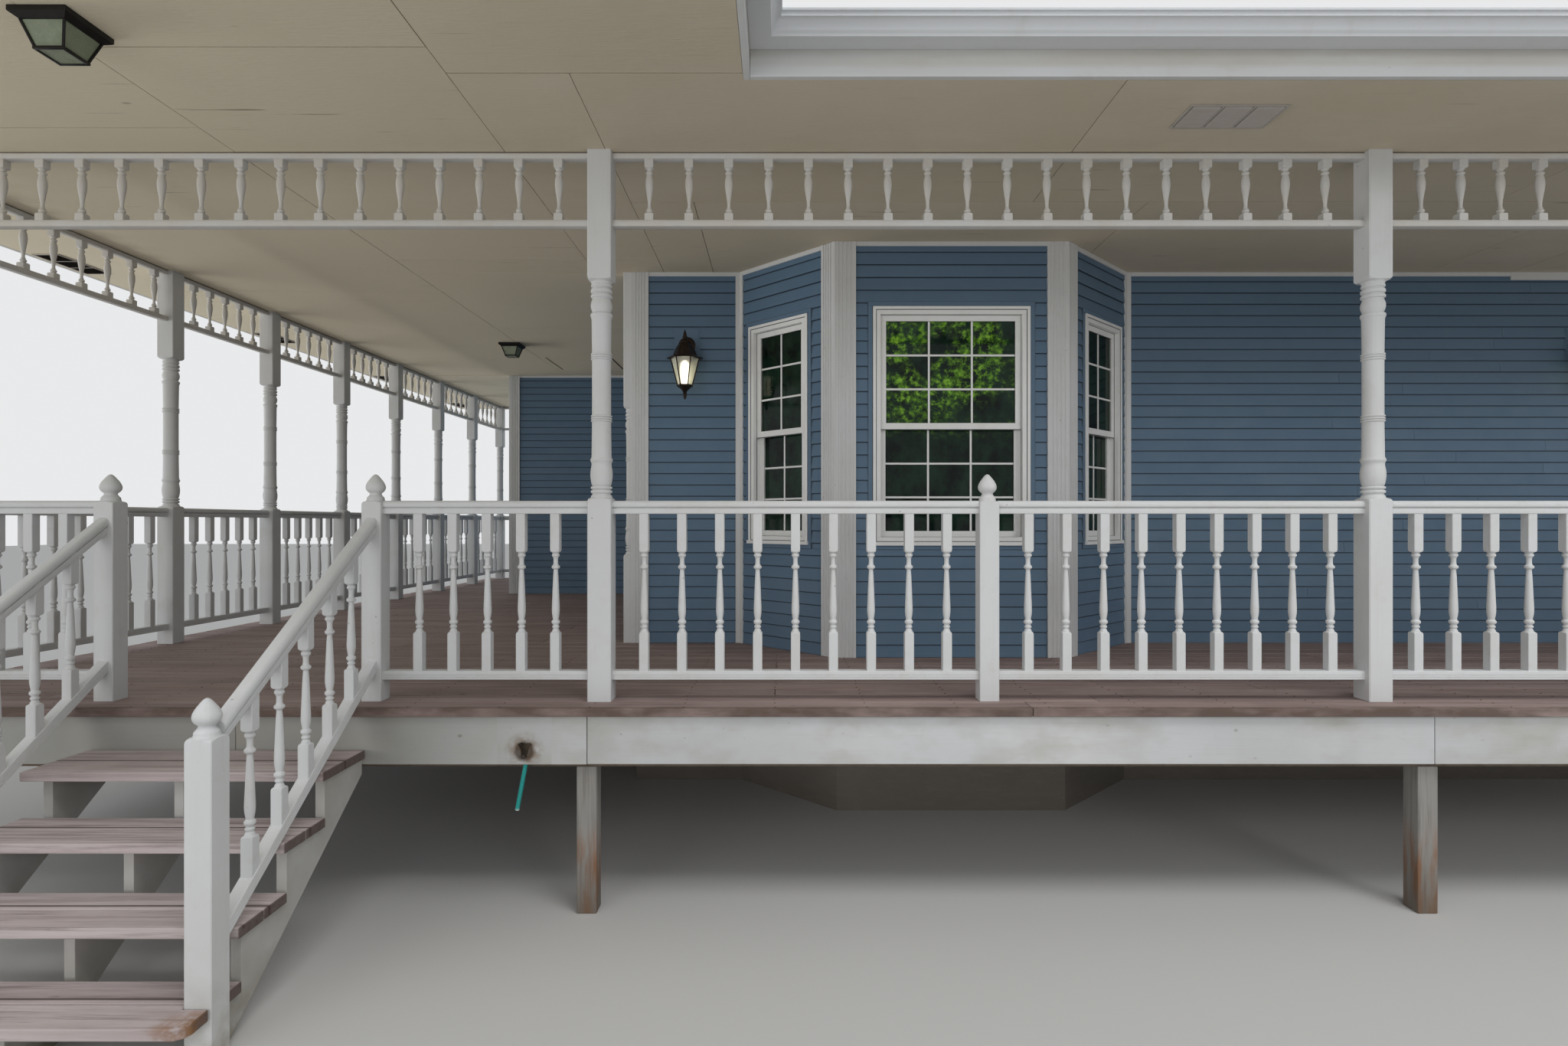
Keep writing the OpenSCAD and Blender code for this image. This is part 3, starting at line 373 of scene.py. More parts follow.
def white_paint(name, grain, age=1.0):
    """Off-white paint on wood: brush marks along the grain, yellowed clouds, specks and dirt low down."""
    paint = Finish(name, (210, 211, 211), 0.55)
    paint.clouds((193, 190, 181), 1.7, 0.42, 0.75, 0.35*age)
    paint.clouds((188, 184, 173), 7, 0.55, 0.8, 0.3*age, harsh=0.7)
    paint.clouds((186, 182, 172), 55, 0.55, 0.8, 0.22*age, grain)
    paint.broken((120, 108, 90), paint.level(paint.cells(16), 0.09, 0.03), 5, 0.52, 0.6, 0.55*age)
    paint.broken((142, 130, 108), paint.level(paint.axis("Z"), 0.30, 0.02), 12, 0.3, 0.65, 0.6)
    paint.grain(0.0005, 90, grain, detail=3)
    paint.gloss(paint.noise(6), 0.45, 0.7)
    return paint


rim_paint = white_paint("rim_paint", (0.05, 1, 1), 1.5)
rim_paint.clouds((180, 182, 184), 0.9, 0.3, 0.6, 0.55)
# Darker towards the left end, under the stair gable: partly dirt and partly painted shade of the gable roof.
rim_paint.band((128, 125, 115), "X", first_joint_x + 0.3, first_joint_x - 0.9, 0.7)
rim_paint.clouds((160, 156, 142), 2.6, 0.46, 0.74, 0.6, (1, 1, 2))
rim_paint.broken((104, 92, 76), rim_paint.level(rim_paint.cells(7, (1, 1, 1.4)), 0.10, 0.02), 3, 0.45, 0.55,
                 0.7)
from_hole = rim_paint.away((hole_x, rim_low.y, hole_z + 0.04))
rim_paint.broken((116, 88, 54), rim_paint.level(from_hole, 0.095, 0.03), 30, 0.35, 0.6, 0.85)
rim_paint.tint(rim_paint.level(from_hole, 0.052, 0.036, 0.8), (58, 44, 32))
build("rim_boards", rim_parts, rim_paint.done(), "trim_paint", "rim_boards")


# Deck boards.
# Softwood 2x6 boards laid left to right over the joists, weathered to a pinkish grey brown.
# They are face nailed with narrow gaps, cut to the wall, and the front edge is darker where rain runs off.
deck_board = 0.140
deck_gap = 0.004
bay = np.array([v.co[:2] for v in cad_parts["bay_walls"].data.vertices])
bay_y = bay[:, 1].min()
bay_front = bay[np.abs(bay[:, 1] - bay_y) < 0.001]
bay_left_x, bay_right_x = bay_front[:, 0].min(), bay_front[:, 0].max()
bay_end_left_x, bay_end_right_x = bay[:, 0].min(), bay[:, 0].max()
wall_y = wall_left_y
side_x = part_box("wall_side")[0].x
rear_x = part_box("wall_rear")[0].x
return_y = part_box("wall_return")[0].y
bay_slope = (bay_left_x - bay_end_left_x)/(wall_y - bay_y)


def slab(outline, z0, z1, ease=0.003):
    """A flat board cut to a plan outline, its arrises eased."""
    shape = bmesh.new()
    shape.faces.new([shape.verts.new((x, y, z0)) for x, y in outline])
    thicken(shape, shape.faces[:], 2, z1)
    bmesh.ops.bevel(shape, geom=shape.edges[:], offset=ease, segments=2, profile=0.5, affect="EDGES")
    return taken_from(shape)


def row_of_boards(x0, x1, y0, y1, joints, cut_left=0.0, cut_right=0.0):
    """One row of deck boards, butted at the joints. Its ends may be cut askew by so much over the row."""
    marks = [x0] + [x for x in joints if x0 + 0.6 < x < x1 - 0.6] + [x1]
    row = []
    for k in range(len(marks) - 1):
        a, b = marks[k] + (0.001 if k else 0), marks[k + 1] - (0.001 if k < len(marks) - 2 else 0)
        drop = chance.uniform(0, 0.0015)
        skew_a = cut_left if k == 0 else 0.0
        skew_b = cut_right if k == len(marks) - 2 else 0.0
        if skew_a or skew_b:
            row.append(slab([(a, y0), (b, y0), (b + skew_b, y1), (a + skew_a, y1)], deck_low.z,
                            deck_top - drop))
        else:
            row.append(board((a, y0, deck_low.z), (b, y1, deck_top - drop), 0.004))
    return row


front_rows, wing_rows = [], []
pitch = deck_board + deck_gap
y = deck_low.y
shift = [2.7, 0.9, 4.3, 1.8, 3.5]
stock_l = 4.88
nosing_joint_x = 0.04
k = 0
while y < rim_high.y - 0.03:
    top = min(y + deck_board, wing_high.y)
    joints = [deck_low.x + shift[k % 5] + stock_l*i for i in range(4)]
    if k == 0:
        joints = [nosing_joint_x - stock_l, nosing_joint_x, nosing_joint_x + stock_l]
    if y < bay_y - 0.01 and top > bay_y:
        top = bay_y - 0.001
    if y < wall_y and top > wall_y:
        top = wall_y
    if top <= bay_y:
        front_rows += row_of_boards(deck_low.x, deck_high.x, y, top, joints)
    elif y < wall_y:
        left_here = bay_left_x - (y - bay_y)*bay_slope
        right_here = bay_right_x + (y - bay_y)*bay_slope
        skew = (top - y)*bay_slope
        front_rows += row_of_boards(deck_low.x, left_here, y, top, joints, cut_right=-skew)
        front_rows += row_of_boards(right_here, deck_high.x, y, top, joints, cut_left=skew)
    elif y < return_y - 0.02:
        wing_rows += row_of_boards(wing_low.x, side_x, y, min(top, return_y), joints)
    else:
        wing_rows += row_of_boards(wing_low.x, rear_x, y, top, joints)
    y = top + deck_gap
    k += 1


def bare_board(name, colour, dark, pale, along):
    """Weathered softwood: drawn-out grain, each board its own tone, knots, checks and worn patches."""
    wood = Finish(name, colour, 0.82)
    wood.vary(dark, 0.38)
    wood.clouds(dark, 28, 0.42, 0.72, 0.65, along, detail=6)
    wood.clouds(pale, 9, 0.5, 0.8, 0.55, along, detail=3)
    wood.clouds(pale, 2.2, 0.5, 0.8, 0.35)
    knot_spots = tuple(0.55 if s < 1 else 1.3 for s in along)
    knots = wood.level(wood.cells(5.5, knot_spots), 0.085, 0.03)
    wood.broken(darker(dark, 0.35), knots, 4, 0.46, 0.52, 0.75)
    wood.clouds(darker(dark, 0.4), 120, 0.66, 0.78, 0.5, along, detail=2)
    wood.grain(0.0016, 70, along, detail=6)
    wood.grain(0.0005, 300, along, detail=3)
    wood.gloss(wood.noise(10, along), 0.7, 0.9)
    return wood


along_x = (0.05, 1, 1)
deck_wood = bare_board("deck_wood", (158, 138, 132), (108, 92, 87), (188, 170, 165), along_x)
deck_wood.broken((82, 66, 56), deck_wood.level(deck_wood.axis("Y"), deck_low.y + 0.05, deck_low.y + 0.012),
                 14, 0.25, 0.6, 0.8, (0.4, 1, 1))
deck_finish = deck_wood.done()
build("deck_front_boards", front_rows, deck_finish, "deck_timber", "deck_front")
build("deck_wing_boards", wing_rows, deck_finish, "deck_timber", "deck_wing")


# Nails in the deck boards.
# Two round heads in each board over every joist, rusty and driven a little under the surface.
joist_gap = 0.406
nail_r = 0.0045


def stud(x, y, z, radius, rise, sides=6):
    """A low round head, chamfered to its top."""
    turns = np.arange(sides)*2*math.pi/sides
    rings = [np.stack([x + r*np.cos(turns), y + r*np.sin(turns), np.full(sides, z + h)], 1)
             for r, h in ((radius, -0.001), (radius, rise*0.5), (radius*0.7, rise))]
    return ringed(rings)


nails = []
y = deck_low.y
while y < wing_high.y - 0.1:
    x = deck_low.x + 0.24
    reach_x = deck_high.x if y < bay_y else (side_x if y < return_y else rear_x)
    while x < reach_x - 0.1:
        if y + deck_board > rim_low.y:
            nails += [stud(x + chance.uniform(-0.006, 0.006), y + d, deck_top, nail_r, 0.0006)
                      for d in (0.03, 0.11)]
        x += joist_gap
    y += pitch
rust = Finish("nail_rust", (74, 56, 46), 0.7, 0.4)
rust.clouds((112, 72, 50), 300, 0.4, 0.7, 0.6)
build("deck_nails", nails, rust.done(), "deck_timber")


# Stairs: sawtooth stringers and open treads.
# The stringers are white painted 2x12s, nailed at the treads and stained where they meet the ground.
# Each tread is two weathered boards with a gap between, dark end grain and split, worn corners.
riser = 0.186


def sawn(part_low, part_high):
    """The stringer's outline, stepped under the treads and straight below, as y and z."""
    treads = [solids(f"tread_{i}") for i in (1, 2, 3, 4)]
    line = [(part_high[1], treads[0][0][0][2])]
    for i, boards in enumerate(treads):
        front = boards[0][0][1] + 0.040
        line.append((front, boards[0][0][2]))
        line.append((front, treads[i + 1][0][0][2] if i < 3 else part_low[2]))
    slope = riser/0.250
    throat = 0.100
    nose_y, nose_z = line[1][0], line[2][1]
    line.append((nose_y + (throat - nose_z)/slope, 0.0))
    line.append((part_high[1], nose_z - throat + (part_high[1] - nose_y)*slope))
    return line


def upright(outline, x0, x1):
    """A plank on edge, cut to an outline in y and z."""
    points, faces = slab([(b, a) for a, b in outline], x0, x1, 0.002)
    return points[:, [2, 1, 0]], faces


newel_boxes = solids("stair_newels")
stringer_boxes = solids("stair_stringers")
wide_low = min(low[1] for low, high in stringer_boxes)
stringer_parts = []
for low, high in stringer_boxes:
    line = sawn(low, high)
    if low[1] > wide_low + 0.05:
        line = [(max(a, low[1]), b) for a, b in line]
    stringer_parts.append(upright(line, low[0], high[0]))
stringer_paint = white_paint("stringer_paint", (1, 0.2, 0.2), 1.3)
stringer_paint.clouds((158, 154, 144), 2, 0.2, 0.6, 0.75)
stringer_paint.broken((120, 112, 92), stringer_paint.level(stringer_paint.axis("Z"), 0.22, 0.0), 9, 0.3, 0.6,
                      0.8)
build("stair_stringers", stringer_parts, stringer_paint.done(), "trim_paint", "stair_stringers")

tread_wood = bare_board("tread_wood", (199, 186, 185), (134, 119, 115), (221, 211, 209), along_x)
tread_wood.clouds((98, 84, 78), 46, 0.52, 0.66, 0.55, (0.03, 1, 1), detail=5, harsh=0.7)
front_tread, back_tread = solids("tread_1")
gap_y = (front_tread[1][1] + back_tread[0][1])/2
from_gap = tread_wood.node("Math", {0: tread_wood.axis("Y"), 1: gap_y}, operation="SUBTRACT")
from_gap = tread_wood.node("Math", {0: from_gap, 1: 0.125}, operation="PINGPONG")
tread_wood.tint(tread_wood.level(from_gap, 0.009, 0.003, 0.8), (62, 50, 44))
tread_end_x = front_tread[1][0]
tread_ends = tread_wood.level(tread_wood.axis("X"), tread_end_x - 0.006, tread_end_x - 0.001, 0.85)
tread_wood.tint(tread_ends, (70, 55, 48))
low, high = solids("tread_4")[0]
corner = tread_wood.away((high[0], low[1], 0.17))
tread_wood.broken((138, 98, 60), tread_wood.level(corner, 0.14, 0.04), 24, 0.35, 0.6, 0.9)
low, high = solids("tread_3")[0]
damage = tread_wood.away((low[0] + 0.05, low[1], high[2]))
tread_wood.broken((64, 50, 42), tread_wood.level(damage, 0.16, 0.05), 30, 0.38, 0.58, 0.85, (0.3, 1, 1))
tread_finish = tread_wood.done()
for i in (1, 2, 3, 4):
    parts = []
    for number, (low, high) in enumerate(solids(f"tread_{i}")):
        line = [(low[0], low[1]), (high[0], low[1]), (high[0], high[1]), (low[0], high[1])]
        if i == 4:
            post_low, post_high = newel_boxes[1][0] - 0.003, newel_boxes[1][1] + 0.003
            notch_y = post_low[1] if number == 0 else post_high[1]
            if number == 0:
                worn = [(high[0] - 0.034, low[1]), (high[0] - 0.020, low[1] + 0.009),
                        (high[0] - 0.011, low[1] + 0.013), (high[0], low[1] + 0.036)]
                line = [(low[0], low[1])] + worn + [(high[0], notch_y), (post_low[0], notch_y),
                                                    (post_low[0], high[1]), (low[0], high[1])]
            else:
                line = [(low[0], low[1]), (post_low[0], low[1]), (post_low[0], notch_y), (high[0], notch_y),
                        (high[0], high[1]), (low[0], high[1])]
        parts.append(slab(line, low[2], high[2], 0.004))
    build(f"tread_{i}_boards", parts, tread_finish, "tread_timber", f"tread_{i}")


# Newels.
# Square 4x4 posts at the stairs and in the middle of the wide bays, with shouldered tops.
# Each has a turned acorn finial on a short neck, screwed in and painted with the post.
def bead(low, high, neck, width, steps=7):
    """Profile of a half-round bead."""
    marks = np.linspace(-1, 1, steps)
    return [((low + high)/2 + k*(high - low)/2, neck + (width - neck)*math.sqrt(max(0.0, 1 - k*k)))
            for k in marks]


def sway(low, high, start, end, steps=7):
    """Profile of a soft curve from one radius to another."""
    return [(low + (high - low)*k, start + (end - start)*(1 - math.cos(math.pi*k))/2)
            for k in np.linspace(0, 1, steps)]


def shoulder(low, high, corner_r, round_r, steps=6):
    """Profile where a square block is turned down to round."""
    return [(low + (high - low)*k, round_r + (corner_r - round_r)*math.sqrt(max(0.0, 1 - k*k)))
            for k in np.linspace(0, 1, steps)]


def flipped(profile):
    """The same profile upside down, between the same heights."""
    return [(profile[0][0] + profile[-1][0] - z, r) for z, r in reversed(profile)]


def turned(profile, half=None, fine=32, ease=0.003):
    """Rings of a turning, kept inside the square stock of that half width, with its arrises eased."""
    marks = [k*2*math.pi/fine for k in range(fine)]
    if half:
        away = math.pi/4 - math.atan((half - ease)/half)
        quarter = [m for m in marks if m < math.pi/2 - 0.001 and abs(m - math.pi/4) > 0.001]
        quarter = sorted(quarter + [math.pi/4 - away, math.pi/4 + away])
        marks = [m + q*math.pi/2 for q in range(4) for m in quarter]
    cosine, sine = np.cos(marks), np.sin(marks)
    limit = half/np.maximum(np.abs(cosine), np.abs(sine)) if half else np.full(len(marks), 9.0)
    rings = []
    for z, r in profile:
        reach = np.minimum(r, limit)
        rings.append(np.stack([reach*cosine, reach*sine, np.full(len(marks), z)], 1))
    return ringed(rings)


def moved(part, x, y):
    """The same part at another place in plan."""
    return part[0] + np.array([x, y, 0.0]), part[1]


def acorn(base):
    """Profile of the finial above the post's top."""
    neck = [(0.000, 0.0400), (0.004, 0.0390), (0.007, 0.0375), (0.011, 0.0377), (0.0162, 0.0364),
            (0.0200, 0.0335), (0.0242, 0.0297), (0.0285, 0.0265), (0.0323, 0.0249), (0.0355, 0.0249)]
    ball = [(0.0380, 0.0262), (0.0412, 0.0303), (0.0445, 0.0340), (0.0490, 0.0376), (0.0540, 0.0404),
            (0.0600, 0.0418), (0.0661, 0.0421), (0.0720, 0.0411), (0.0782, 0.0390), (0.0850, 0.0358),
            (0.0920, 0.0318), (0.0990, 0.0268), (0.1050, 0.0222), (0.1120, 0.0168), (0.1180, 0.0116),
            (0.1215, 0.0070), (0.1235, 0.0025), (0.1240, 0.0005)]
    return [(base + z, r) for z, r in neck + ball]


def newel_part(low, high, finial_h=0.124):
    half = (high[0] - low[0])/2
    top = high[2] - finial_h
    profile = [(low[2], 2*half), (top - 0.016, 2*half)]
    profile += shoulder(top - 0.016, top - 0.002, 1.36*half, 0.049) + acorn(top)
    return moved(turned(profile, half, 32), (low[0] + high[0])/2, (low[1] + high[1])/2)


post_paint = white_paint("post_paint", (1, 1, 0.05)).done()
build("stair_newels", [newel_part(low, high) for low, high in newel_boxes], post_paint, "trim_paint",
      "stair_newels", crease=32)
build("deck_newels", [newel_part(low, high) for low, high in solids("deck_newels")], post_paint,
      "trim_paint", "deck_newels", crease=32)


# Turned porch posts.
# Each is turned from one square timber: a long square foot, a shaft with rings and bulges, a square head.
# They stand on the deck and carry the roof's edge, along the front and down the left side.
post_foot = 0.927
post_head = 1.925


def post_profile(base, top):
    ring, shaft, neck = 0.049, 0.0450, 0.0405
    half_diagonal = 0.0763
    turned_part = [(0.008, 0.0475)] + sway(0.010, 0.018, 0.046, neck, 4)
    turned_part += bead(0.020, 0.037, 0.0410, ring) + bead(0.0395, 0.054, 0.0410, ring) + [(0.0565, neck)]
    for k in np.linspace(0, 1, 14):
        swell = 0.0078*math.sin(math.pi*min(1.0, 0.22 + 0.78*k)**1.2)
        turned_part.append((0.060 + 0.090*k, neck + swell + 0.0045*k))
    turned_part += [(0.158, shaft), (0.163, 0.047)] + bead(0.165, 0.181, 0.0475, 0.0505)
    turned_part += [(0.184, 0.047), (0.189, shaft)]
    for start in (0.3480, 0.6310):
        for k in range(3):
            turned_part += bead(start + 0.0112*k, start + 0.0112*(k + 1) - 0.0010, 0.0430, 0.0482, 5)
    turned_part += [(0.821, shaft), (0.826, 0.047)] + bead(0.828, 0.846, 0.047, 0.0500) + [(0.849, neck)]
    turned_part += [(0.851 + 0.062*k, neck + 0.0085*math.sin(math.pi*k)) for k in np.linspace(0, 1, 12)]
    turned_part += bead(0.915, 0.934, 0.0410, ring) + bead(0.937, 0.960, 0.0410, ring) + [(0.963, neck)]
    turned_part += bead(0.965, 0.980, 0.0435, 0.0475) + sway(0.981, 0.990, 0.0435, 0.047, 4)
    foot, head = base + post_foot, base + post_head
    profile = [(base, 0.2), (foot - 0.024, 0.2)] + shoulder(foot - 0.024, foot, half_diagonal, 0.050)
    profile += [(foot + z, r) for z, r in turned_part]
    profile += flipped(shoulder(head - 0.006, head + 0.018, half_diagonal, 0.050))
    return profile + [(head + 0.019, 0.2), (top, 0.2)]


post_low, post_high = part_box("front_posts")
whole_post = turned(post_profile(post_low.z, post_high.z), (post_high.y - post_low.y)/2, 32, 0.004)
for name in ("front_posts", "wing_posts"):
    places = [((low[0] + high[0])/2, (low[1] + high[1])/2) for low, high in solids(name)]
    build(name, [moved(whole_post, x, y) for x, y in places], post_paint, "trim_paint", name, crease=32)


# Half post on the house corner.
# The same turning split lengthwise, with a shorter foot, nailed flat against the corner board.
def split(part, x):
    """The part of a closed shape that lies left of x, with the cut closed."""
    shape = bmesh.new()
    corners = [shape.verts.new(point) for point in part[0]]
    for face in part[1]:
        shape.faces.new([corners[i] for i in face])
    everything = shape.verts[:] + shape.edges[:] + shape.faces[:]
    cut = bmesh.ops.bisect_plane(shape, geom=everything, plane_co=(x, 0, 0), plane_no=(1, 0, 0),
                                 clear_outer=True)["geom_cut"]
    bmesh.ops.contextual_create(shape, geom=[e for e in cut if isinstance(e, bmesh.types.BMEdge)])
    return taken_from(shape)


low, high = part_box("half_post")
half_foot = 0.600
post_half = (post_high.y - post_low.y)/2
lowered = turned(post_profile(low.z - post_foot + half_foot, high.z), post_half, 32, 0.004)
lowered[0][lowered[0][:, 2] < low.z, 2] = low.z
build("half_post", [split(moved(lowered, low.x + post_half, (low.y + high.y)/2), high.x)], post_paint,
      "trim_paint", "half_post", crease=32)


# Railings.
# Moulded top and bottom rails between the posts, with turned balusters toenailed between them.
# The top rail is a rounded cap over a bead, and the bottom rail is flat on top with grooved sides.
def mirrored(half):
    """A closed outline from its right half, given from the bottom to the top."""
    return half + [(-a, b) for a, b in reversed(half)]


def arc(across, up, wide, tall, start, end, steps=5):
    """Points on a quarter or so of an ellipse, from one angle to another in degrees."""
    return [(across + wide*math.cos(math.radians(a)), up + tall*math.sin(math.radians(a)))
            for a in np.linspace(start, end, steps)]


cap_line = mirrored([(0.019, 0.0)] + arc(0.020, 0.004, 0.003, 0.004, -60, 0, 3)
                    + arc(0.020, 0.021, 0.003, 0.004, 0, 75, 3)
                    + [(0.0165, 0.0262), (0.0165, 0.0285), (0.022, 0.0295)]
                    + arc(0.0235, 0.0365, 0.0045, 0.006, -80, 0, 4)
                    + arc(0.012, 0.041, 0.016, 0.019, 0, 88, 7))
foot_line = mirrored([(0.024, 0.0), (0.026, 0.0015), (0.026, 0.009), (0.0244, 0.0105), (0.026, 0.012),
                      (0.026, 0.019), (0.0244, 0.0205), (0.026, 0.022), (0.026, 0.0275), (0.0245, 0.0385),
                      (0.0230, 0.040)])


def bar(outline, start, end):
    """A moulded length between two points, its ends cut plumb. The outline is across and up."""
    start, end = np.array(start, float), np.array(end, float)
    way = (end - start)/np.linalg.norm(end - start)
    level_way = np.array([way[0], way[1], 0])/np.hypot(way[0], way[1])
    side = np.array([-level_way[1], level_way[0], 0])
    up = np.cross(way, side)
    rings = []
    for point in (start, end):
        ring = []
        for across, height in outline:
            slide = -height*(up @ level_way)/(way @ level_way)
            ring.append(point + side*across + up*height + way*slide)
        rings.append(np.array(ring))
    return ringed(rings)


def baluster_profile(low, high):
    """A baluster between two heights: square ends, beads, coves and a long vase that is widest low."""
    turned_h = 0.367
    base = (low + high - turned_h)/2
    corner_r = 0.0293
    waist = [(0.004, 0.0165)] + sway(0.006, 0.016, 0.0165, 0.0118, 4) + bead(0.018, 0.030, 0.0125, 0.0162, 5)
    waist += [(0.0335, 0.0120)]
    waist += bead(0.037, 0.055, 0.0145, 0.0192, 6) + [(0.0575, 0.0128)]
    waist += [(0.064, 0.0136), (0.074, 0.0156), (0.086, 0.0172), (0.098, 0.0179), (0.114, 0.0177),
              (0.135, 0.0169), (0.163, 0.0157), (0.195, 0.0145), (0.228, 0.0131), (0.255, 0.0119),
              (0.274, 0.0105), (0.286, 0.0096)]
    waist += bead(0.290, 0.307, 0.0130, 0.0188, 6)
    waist += [(0.311, 0.0114), (0.318, 0.0104), (0.334, 0.0104), (0.341, 0.0116)]
    waist += bead(0.344, 0.362, 0.0128, 0.0176, 5)
    profile = [(low, 0.1), (base - 0.014, 0.1)] + shoulder(base - 0.014, base + 0.002, corner_r, 0.0175, 5)
    profile += [(base + z, r) for z, r in waist]
    end = base + turned_h
    profile += flipped(shoulder(end - 0.002, end + 0.016, corner_r, 0.0165, 5))
    return profile + [(end + 0.017, 0.1), (high, 0.1)]


def spots(length, spacing):
    """Places along a panel: long panels keep the spacing, short ones share their length evenly."""
    count = math.floor(length/spacing)
    step = spacing if count > 6 else length/(count + 1)
    return [(length - (count - 1)*step)/2 + i*step for i in range(count)]


baluster_half = 0.021
baluster_spacing = 0.174
rail_h, foot_h = 0.060, 0.040


def panel_ends(low, high):
    """Plan points where a straight panel starts and ends."""
    if high[0] - low[0] > high[1] - low[1]:
        y = (low[1] + high[1])/2
        return (low[0], y), (high[0], y)
    x = (low[0] + high[0])/2
    return (x, low[1]), (x, high[1])


def along(start, end, distances):
    """Plan points at those distances from the start."""
    start, end = np.array(start), np.array(end)
    way = (end - start)/np.linalg.norm(end - start)
    return [start + way*d for d in distances]


def railing(low, high):
    start, end = panel_ends(low, high)
    parts = [bar(cap_line, (*start, high[2] - rail_h), (*end, high[2] - rail_h)),
             bar(foot_line, (*start, low[2]), (*end, low[2]))]
    one = turned(baluster_profile(low[2] + foot_h, high[2] - rail_h), baluster_half, 16, 0.002)
    length = math.dist(start, end)
    return parts + [moved(one, *p) for p in along(start, end, spots(length, baluster_spacing))]


rail_paint = white_paint("rail_paint", (0.4, 0.4, 0.4)).done()
for name in ("railing_left", "railing_stair", "railing_centre", "railing_right", "railing_wing",
             "railing_ends"):
    parts = [part for low, high in solids(name) for part in railing(low, high)]
    build(name, parts, rail_paint, "trim_paint", name, crease=34)

hand_slope, hand_top = 0.68448, 0.800
foot_slope, foot_top = 0.72019, 0.1593
stair_parts = []
for low, high in solids("stair_railings"):
    x, near, far = (low[0] + high[0])/2, high[1], low[1]
    run = near - far
    for line, slope, top, depth in ((cap_line, hand_slope, hand_top, rail_h),
                                    (foot_line, foot_slope, foot_top, foot_h)):
        drop = depth/2*math.sqrt(1 + slope*slope)
        start = (x, near, deck_top + top - drop)
        stair_parts.append(bar(line, start, (x, far, deck_top + top - drop - slope*run)))
    for d in spots(solids("deck_newels")[0][0][1] - newel_boxes[0][1][1], baluster_spacing):
        profile = baluster_profile(deck_top + foot_top - foot_slope*d, deck_top + hand_top - hand_slope*d)
        stair_parts.append(moved(turned(profile, baluster_half, 16, 0.002), x, near - d))
build("stair_railings", stair_parts, rail_paint, "trim_paint", "stair_railings", crease=34)


# Spindle frieze.
# Two thin moulded rails hung between the posts under the ceiling, with small turned spindles.
# Each spindle is widest near its top and tapers down to a bead, all painted off-white.
def spindle_profile(low, high):
    corner_r = 0.0285
    foot, head = low + 0.032, high - 0.037
    reach = head - foot
    profile = [(low, 0.1), (foot - 0.006, 0.1)] + shoulder(foot - 0.006, foot + 0.004, corner_r, 0.0135, 4)
    profile += [(foot + 0.0055, 0.0108)] + bead(foot + 0.0065, foot + 0.0225, 0.0110, 0.0153, 6)
    profile += [(foot + 0.0240, 0.0088)]
    profile += bead(foot + 0.0250, foot + 0.0300, 0.0090, 0.0110, 4) + [(foot + 0.0315, 0.0080)]
    vase = ((0.0, 0.0076), (0.12, 0.0080), (0.25, 0.0100), (0.40, 0.0133), (0.55, 0.0167), (0.68, 0.0186),
            (0.80, 0.0183), (0.90, 0.0166), (1.0, 0.0130))
    profile += [(foot + 0.034 + (reach - 0.068)*k, r) for k, r in vase]
    profile += bead(head - 0.0305, head - 0.0165, 0.0122, 0.0171, 6) + [(head - 0.0145, 0.0102)]
    profile += sway(head - 0.0120, head - 0.0050, 0.0105, 0.0155, 3)
    profile += flipped(shoulder(head - 0.004, head + 0.008, corner_r, 0.0150, 4))
    return profile + [(head + 0.009, 0.1), (high, 0.1)]


spindle_half = 0.0203
spindle_spacing = 0.183
strip_h = 0.030
strip_line = mirrored([(0.019, 0.0), (0.0225, 0.0015), (0.024, 0.005), (0.024, 0.0225), (0.0215, 0.0245),
                       (0.0215, 0.0275), (0.020, 0.030)])
frieze_paint = white_paint("frieze_paint", (0.4, 0.4, 0.4), 1.2)
# Cream clouds: painted warm light bounced from the ceiling, laid over the off-white paint.
frieze_paint.clouds((204, 194, 179), 3, 0.2, 0.7, 0.5)
frieze_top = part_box("frieze_centre")[1].z
# Dark line along the top of the upper rails against the ceiling: dirt and a painted shadow in the gap.
frieze_paint.band((92, 74, 62), "Z", frieze_top - 0.006, frieze_top - 0.004, 0.85)
frieze_finish = frieze_paint.done()
for name in ("frieze_left", "frieze_centre", "frieze_right", "frieze_wing", "frieze_ends"):
    parts = []
    for low, high in solids(name):
        start, end = panel_ends(low, high)
        parts += [bar(strip_line, (*start, z), (*end, z)) for z in (low[2], high[2] - strip_h)]
        one = turned(spindle_profile(low[2] + strip_h, high[2] - strip_h), spindle_half, 16, 0.002)
        parts += [moved(one, *p) for p in along(start, end, spots(math.dist(start, end), spindle_spacing))]
    build(name, parts, frieze_finish, "trim_paint", name, crease=34)


# Ceiling and vents.
# Rough-sawn 4x8 plywood sheets nailed up under the rafters and painted cream, with open seams and splits.
# Louvred sheet-metal vents are let into the overhangs.
ceil_low, ceil_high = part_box("ceiling_front")
seam = 0.003
gable_low, gable_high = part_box("ceiling_gable")
wing_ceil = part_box("ceiling_wing")[1]
left_x, end_x, front_y, back_y = ceil_low.x, ceil_high.x, ceil_low.y, ceil_high.y
hatch_x, hatch_y, hatch_gap = (-3.500, -2.830), (1.290, 1.950), 0.016


def sheet(x0, x1, y0, y1):
    """A plywood sheet nailed up with narrow gaps to its neighbours."""
    return board((x0 + seam/2, y0 + seam, ceil_low.z + chance.uniform(0, 0.0015)),
                 (x1 - seam/2, y1 - seam, ceil_high.z), 0.0012)


